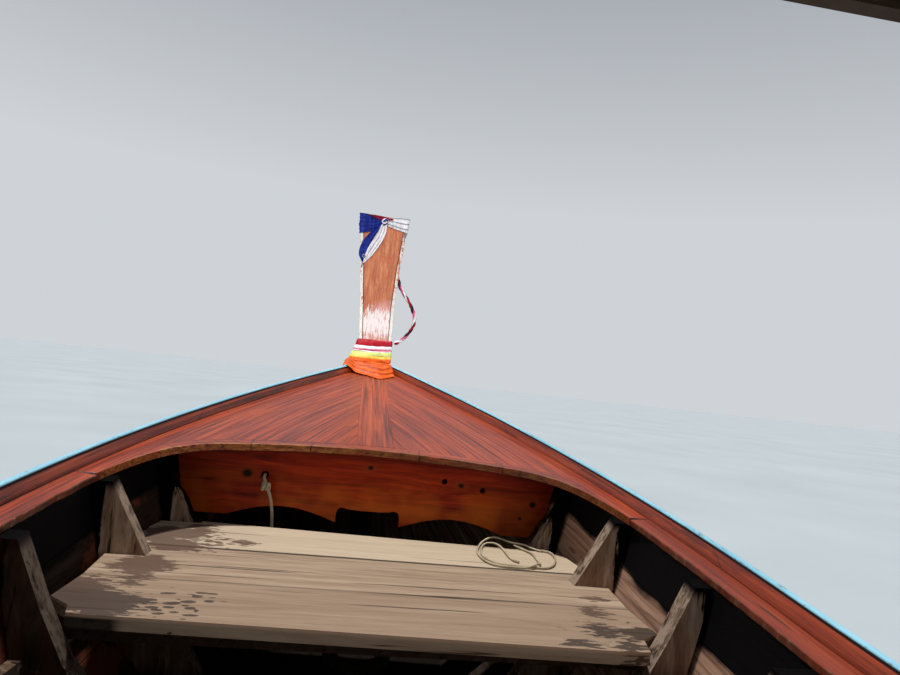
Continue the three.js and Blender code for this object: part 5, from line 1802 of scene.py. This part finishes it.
def add_block_ribs():
    """Flanges above and below, ribs down both sides, and ribs across the sump."""
    cast = [block((0.036, -0.121, 0.321), (0.604, 0.121, 0.3305)),
            block((0.037, -0.119, 0.052), (0.603, 0.119, 0.064))]
    for x in [0.09 + 0.062 * i for i in range(8)]:
        cast += [block((x - 0.005, side * 0.118 - 0.004, 0.075), (x + 0.005, side * 0.118 + 0.004, 0.318))
                 for side in BOTH]
    for x in [0.12 + 0.055 * i for i in range(8)]:
        cast.append(block((x - 0.004, -0.094, -0.105), (x + 0.004, 0.094, 0.05)))
    on_engine("engine_block_ribs", cast, IRON)


def add_bolt_heads():
    """On the head cover, the feet, the upper flange, the trunnions and the clutch housing."""
    heads = bolts([(0.1 + 0.11 * i, side * 0.045, 0.399) for i in range(5) for side in BOTH], UP)
    heads += bolts([(x, side * 0.138, 0.069) for x in (0.14, 0.51) for side in BOTH], UP, 0.012, 0.01)
    flange = [(0.07 + 0.1 * i, side * 0.12, 0.326) for i in range(6) for side in BOTH]
    heads += bolts(flange, (0, 1, 0), 0.006, 0.004)
    for side in BOTH:
        heads += bolts([(0, side * 0.232, 0)], (0, side, 0), 0.028, 0.014)
    heads += bolts(circle((0.03, 0, TAIL_Z), 0.098, "yz", 8), (-1, 0, 0), 0.008, 0.06)
    on_engine("engine_bolt_heads", heads, BOLT)


def add_filler_and_breather():
    breather = [(0.46, 0, 0.395), (0.46, 0, 0.42), (0.45, -0.03, 0.43),
                (0.42, -0.1, 0.4), (0.38, -0.15, 0.36)]
    parts = [disc((0.2, 0.0, 0.398), UP, 0.026, 0.016, 20), disc((0.2, 0.0, 0.412), UP, 0.019, 0.012, 8),
             tube(flow(breather, 0.01), 0.009, 8)]
    on_engine("engine_filler_and_breather", parts, RUBBER)


def add_tail_pipe():
    """The cooling pipe along the tail, with its hoops, and a collar at each end of the tail tube."""
    run = [(0.1, 0.118, 0.12), (0.02, 0.14, 0.11), (-0.1, 0.11, 0.1), (-0.2, 0.052, 0.085),
           (-0.4, 0.048, 0.08), (-3.05, 0.048, 0.08), (-3.14, 0.046, 0.07), (-3.18, 0.044, 0.045)]
    parts = [tube(flow(run, 0.03), 0.0085, 8)]
    for x in (-0.45, -1.0, -1.55, -2.1, -2.65, -3.1):
        parts.append(tube(circle((x, 0, TAIL_Z), 0.041, "yz", 24, 1), 0.004, 6))
        parts.append(tube(circle((x, 0.049, 0.08), 0.011, "yz", 12, 1), 0.003, 6))
    parts += [rod((x, 0, TAIL_Z), (x - 0.05, 0, TAIL_Z), 0.043, 20) for x in (-0.182, -3.54)]
    on_engine("tail_pipe_and_collars", parts, TUBE, "tube_steel")


def add_exhaust_manifold():
    """To port: a branch and a flange at each cylinder, and bands round the silencer."""
    hot = [rod((x, 0.112, 0.29), (x, 0.152, 0.29), 0.019, 12) for x in CYLINDER_X]
    hot.append(rod((0.115, 0.152, 0.29), (0.485, 0.152, 0.29), 0.022, 12, 12))
    hot += [block((x - 0.028, 0.114, 0.262), (x + 0.028, 0.122, 0.318)) for x in CYLINDER_X]
    hot += [rod((0.278, 0.215, z), (0.277, 0.215, z + 0.012), 0.028) for z in (0.5, 0.56)]
    on_engine("exhaust_manifold", hot, RUST, "exhaust_metal")


def add_intake():
    """To starboard: branches to the cylinders, and a can with slats round it for the air filter."""
    cold = [rod((x, -0.112, 0.275), (x, -0.16, 0.285), 0.016, 12) for x in CYLINDER_X]
    cold.append(rod((0.12, -0.162, 0.285), (0.48, -0.162, 0.285), 0.02, 12, 12))
    cold.append(rod((0.3, -0.165, 0.285), (0.3, -0.19, 0.335), 0.024, 12))
    on_engine("intake_manifold", cold, BELT_METAL)
    x, y = 0.3, -0.195
    can = [rod((x, y, 0.332), (x, y, 0.382), 0.062, 28), rod((x, y, 0.382), (x, y, 0.39), 0.067, 28),
           disc((x, y, 0.389), UP, 0.012, 0.014, 8)]
    for slat in circle((x, y, 0.358), 0.062, "xy", 24):
        half_size = Vector((0.002, 0.002, 0.02))
        can.append(block(slat - half_size, slat + half_size))
    on_engine("air_filter", can, DARK_STEEL)


HOSES = [
    [(0.55, -0.1, 0.335), (0.57, -0.125, 0.345), (0.575, -0.15, 0.3), (0.56, -0.15, 0.16), (0.5, -0.135, 0.1),
     (0.44, -0.117, 0.1)],
    [(0.16, -0.116, 0.14), (0.15, -0.14, 0.15), (0.12, -0.145, 0.2), (0.07, -0.13, 0.27), (0.045, -0.1, 0.3)],
]


def add_leads_and_hoses():
    """The distributor with a lead to each cylinder, and two hoses."""
    x, z = 0.53, 0.2
    parts = [rod((x, 0.112, z), (x, 0.165, z), 0.03, 16), rod((x, 0.165, z), (x, 0.19, z), 0.024, 16)]
    for i, plug_x in enumerate(CYLINDER_X):
        angle = 0.8 + 1.4 * i
        start = Vector((x + 0.013 * math.cos(angle), 0.188, z + 0.013 * math.sin(angle)))
        lead = [start, start + Vector((0, 0.022, 0.01)), (plug_x + 0.12, 0.205, 0.3),
                (plug_x + 0.02, 0.15, 0.372), (plug_x, 0.086, 0.36)]
        parts.append(tube(flow(lead, 0.008), 0.004, 6))
        parts.append(rod((plug_x, 0.09, 0.362), (plug_x, 0.078, 0.357), 0.009, 8))
    parts += [tube(flow(run, 0.01), 0.015, 10) for run in HOSES]
    on_engine("ignition_leads_and_hoses", parts, RUBBER)


def add_belts():
    """Two belts round the fan's pulley and the crank's."""
    x, steps = 0.6225, 28
    over = circle((x, 0, 0.265), 0.065, "yz", steps)[:15]
    under = circle((x, 0, 0.09), 0.078, "yz", steps, 1)[14:]
    belts = [[p + Vector((dx, 0, 0)) for p in over + under + over[:1]] for dx in (-0.009, 0.009)]
    on_engine("drive_belts", [tube(belt, 0.006, 6) for belt in belts], RUBBER, "drive_metal")


def add_fan():
    centre = Matrix.Translation((0.655, 0, 0.265))
    parts = [disc((0.645, 0, 0.265), (1, 0, 0), 0.03, 0.03, 16)]
    for angle in angles(6):
        turn = centre @ Matrix.Rotation(angle, 4, "X") @ Matrix.Rotation(0.5, 4, "Z")
        parts.append(moved(block((-0.0015, -0.024, 0.018), (0.0015, 0.024, 0.112)), turn))
    on_engine("cooling_fan", parts, DARK_STEEL, "drive_metal")


CABLE = [
    (0.5, -0.12, 0.3), (0.62, -0.16, 0.2), (0.74, -0.14, 0.07), (0.82, -0.03, 0.026), (0.92, 0, 0.024),
    (1.06, 0, 0.022), (1.25, 0, -0.022), (1.48, 0, -0.117), (1.55, 0, -0.15),
]
LEVER = [(1.53, 0, -0.145), (1.535, 0.02, -0.14), (1.55, 0.05, -0.15), (1.57, 0.075, -0.165)]
# Clips round the tiller: place along it, height, slope
CLIPS = [(0.9, 0.005, 0.0), (1.1, -0.003, -0.15), (1.3, -0.059, -0.33), (1.5, -0.147, -0.46)]


def ribbed(share):
    """Radius of the grip."""
    return 0.0205 + 0.0014 * abs(math.sin(50 * share))


def add_tiller_fittings():
    """A ribbed grip, and the throttle's cable with its clips and lever."""
    grip = rod((1.55, 0, -0.1755), (1.722, 0, -0.261), ribbed, 14, 60)
    on_engine("tiller_grip", [grip], RUBBER, "tube_steel")
    parts = [tube(flow(CABLE, 0.012), 0.0035, 8)]
    for x, z, slope in CLIPS:
        middle, along = Vector((x, 0, z)), Vector((1, 0, slope)).normalized() * 0.012
        parts.append(rod(middle - along, middle + along, 0.0225))
    parts.append(tube(flow(LEVER, 0.006), 0.004, 8))
    on_engine("throttle_cable_and_lever", parts, DARK_STEEL, "tube_steel")


add_block_ribs()
add_bolt_heads()
add_filler_and_breather()
add_tail_pipe()
add_exhaust_manifold()
add_intake()
add_leads_and_hoses()
add_belts()
add_fan()
add_tiller_fittings()


# Floor with a hole where the hull floats, backdrop and lights

FLOOR_FROM, FLOOR_TO, FLOOR_INSET, FLOOR_REACH = STERN_X - 0.02, 4.27, 0.012, 160.0
# Brightness of the studio's walls and of its ceiling, by height
SKY = [(0.25, (0.62, 0.65, 0.68, 1)), (0.75, (0.2, 0.22, 0.26, 1))]
SPOT_CONE, SPOT_BLEND = math.radians(17), 0.6


def waterline_half(x):
    """Half-breadth of the hole in the floor, a little inside the hull's outside."""
    low, high = keel_line(x), rail_top(x) - SHEER_DROP
    step = (0 - low) / (high - low)
    if step <= 0:
        return 0.0
    return max(0.0, hull_side(x, step)[0] - FLOOR_INSET)


def floor_look():
    look = Look("floor", roughness=0.85)
    look.base = look.ramp(look.grain((0.4, 0.4, 0.4), 3, 0.5), (0.3, "a3aaad"), (0.7, "acb3b5"))
    return look.done()


def add_floor():
    port = [(x, waterline_half(max(x, STERN_X))) for x in spread(FLOOR_FROM, FLOOR_TO, 90)]
    outline = port + [(x, -y) for x, y in reversed(port)]
    points = [Vector((x, y, 0)) for x, y in outline]
    count = len(points)
    for x, y in outline:
        way = Vector((x + 0.6, y * 4, 0))
        points.append(way / max(abs(way.x), abs(way.y)) * FLOOR_REACH)
    faces = [[i, (i + 1) % count, count + (i + 1) % count, count + i] for i in range(count)]
    mesh = bpy.data.meshes.new("floor")
    mesh.from_pydata([tuple(p) for p in points], [], faces)
    mesh.materials.append(floor_look().material)
    floor = bpy.data.objects.new("floor", mesh)
    bpy.context.scene.collection.objects.link(floor)


def add_light(name, kind, energy, at, towards, size):
    data = bpy.data.lights.new(name, kind)
    data.energy = energy
    if kind == "SUN":
        data.angle = size
    else:
        data.shadow_soft_size = size
        data.spot_size = SPOT_CONE
        data.spot_blend = SPOT_BLEND
    lamp = bpy.data.objects.new(name, data)
    lamp.location = at
    lamp.rotation_euler = (Vector(towards) - Vector(at)).to_track_quat("-Z", "Y").to_euler()
    bpy.context.scene.collection.objects.link(lamp)


def add_studio():
    world = bpy.data.worlds.new("studio")
    world.use_nodes = True
    tree = world.node_tree
    way = tree.nodes.new("ShaderNodeTexCoord")
    parts = tree.nodes.new("ShaderNodeSeparateXYZ")
    sky = tree.nodes.new("ShaderNodeValToRGB")
    tree.links.new(way.outputs["Generated"], parts.inputs["Vector"])
    tree.links.new(parts.outputs["Z"], sky.inputs["Fac"])
    for element, (height, shade) in zip(sky.color_ramp.elements, SKY):
        element.position = height
        element.color = shade
    tree.links.new(sky.outputs["Color"], tree.nodes["Background"].inputs["Color"])
    bpy.context.scene.world = world
    bpy.context.scene.view_settings.view_transform = "Standard"
    add_light("key", "SUN", 3.6, (0.3, 1.8, 10.0), (0, 0, 0), math.radians(3))
    add_light("prow_fill", "SPOT", 2900, (-6.0, 0.3, 5.4), (5.5, 0, 1.75), 0.8)


add_floor()
add_studio()
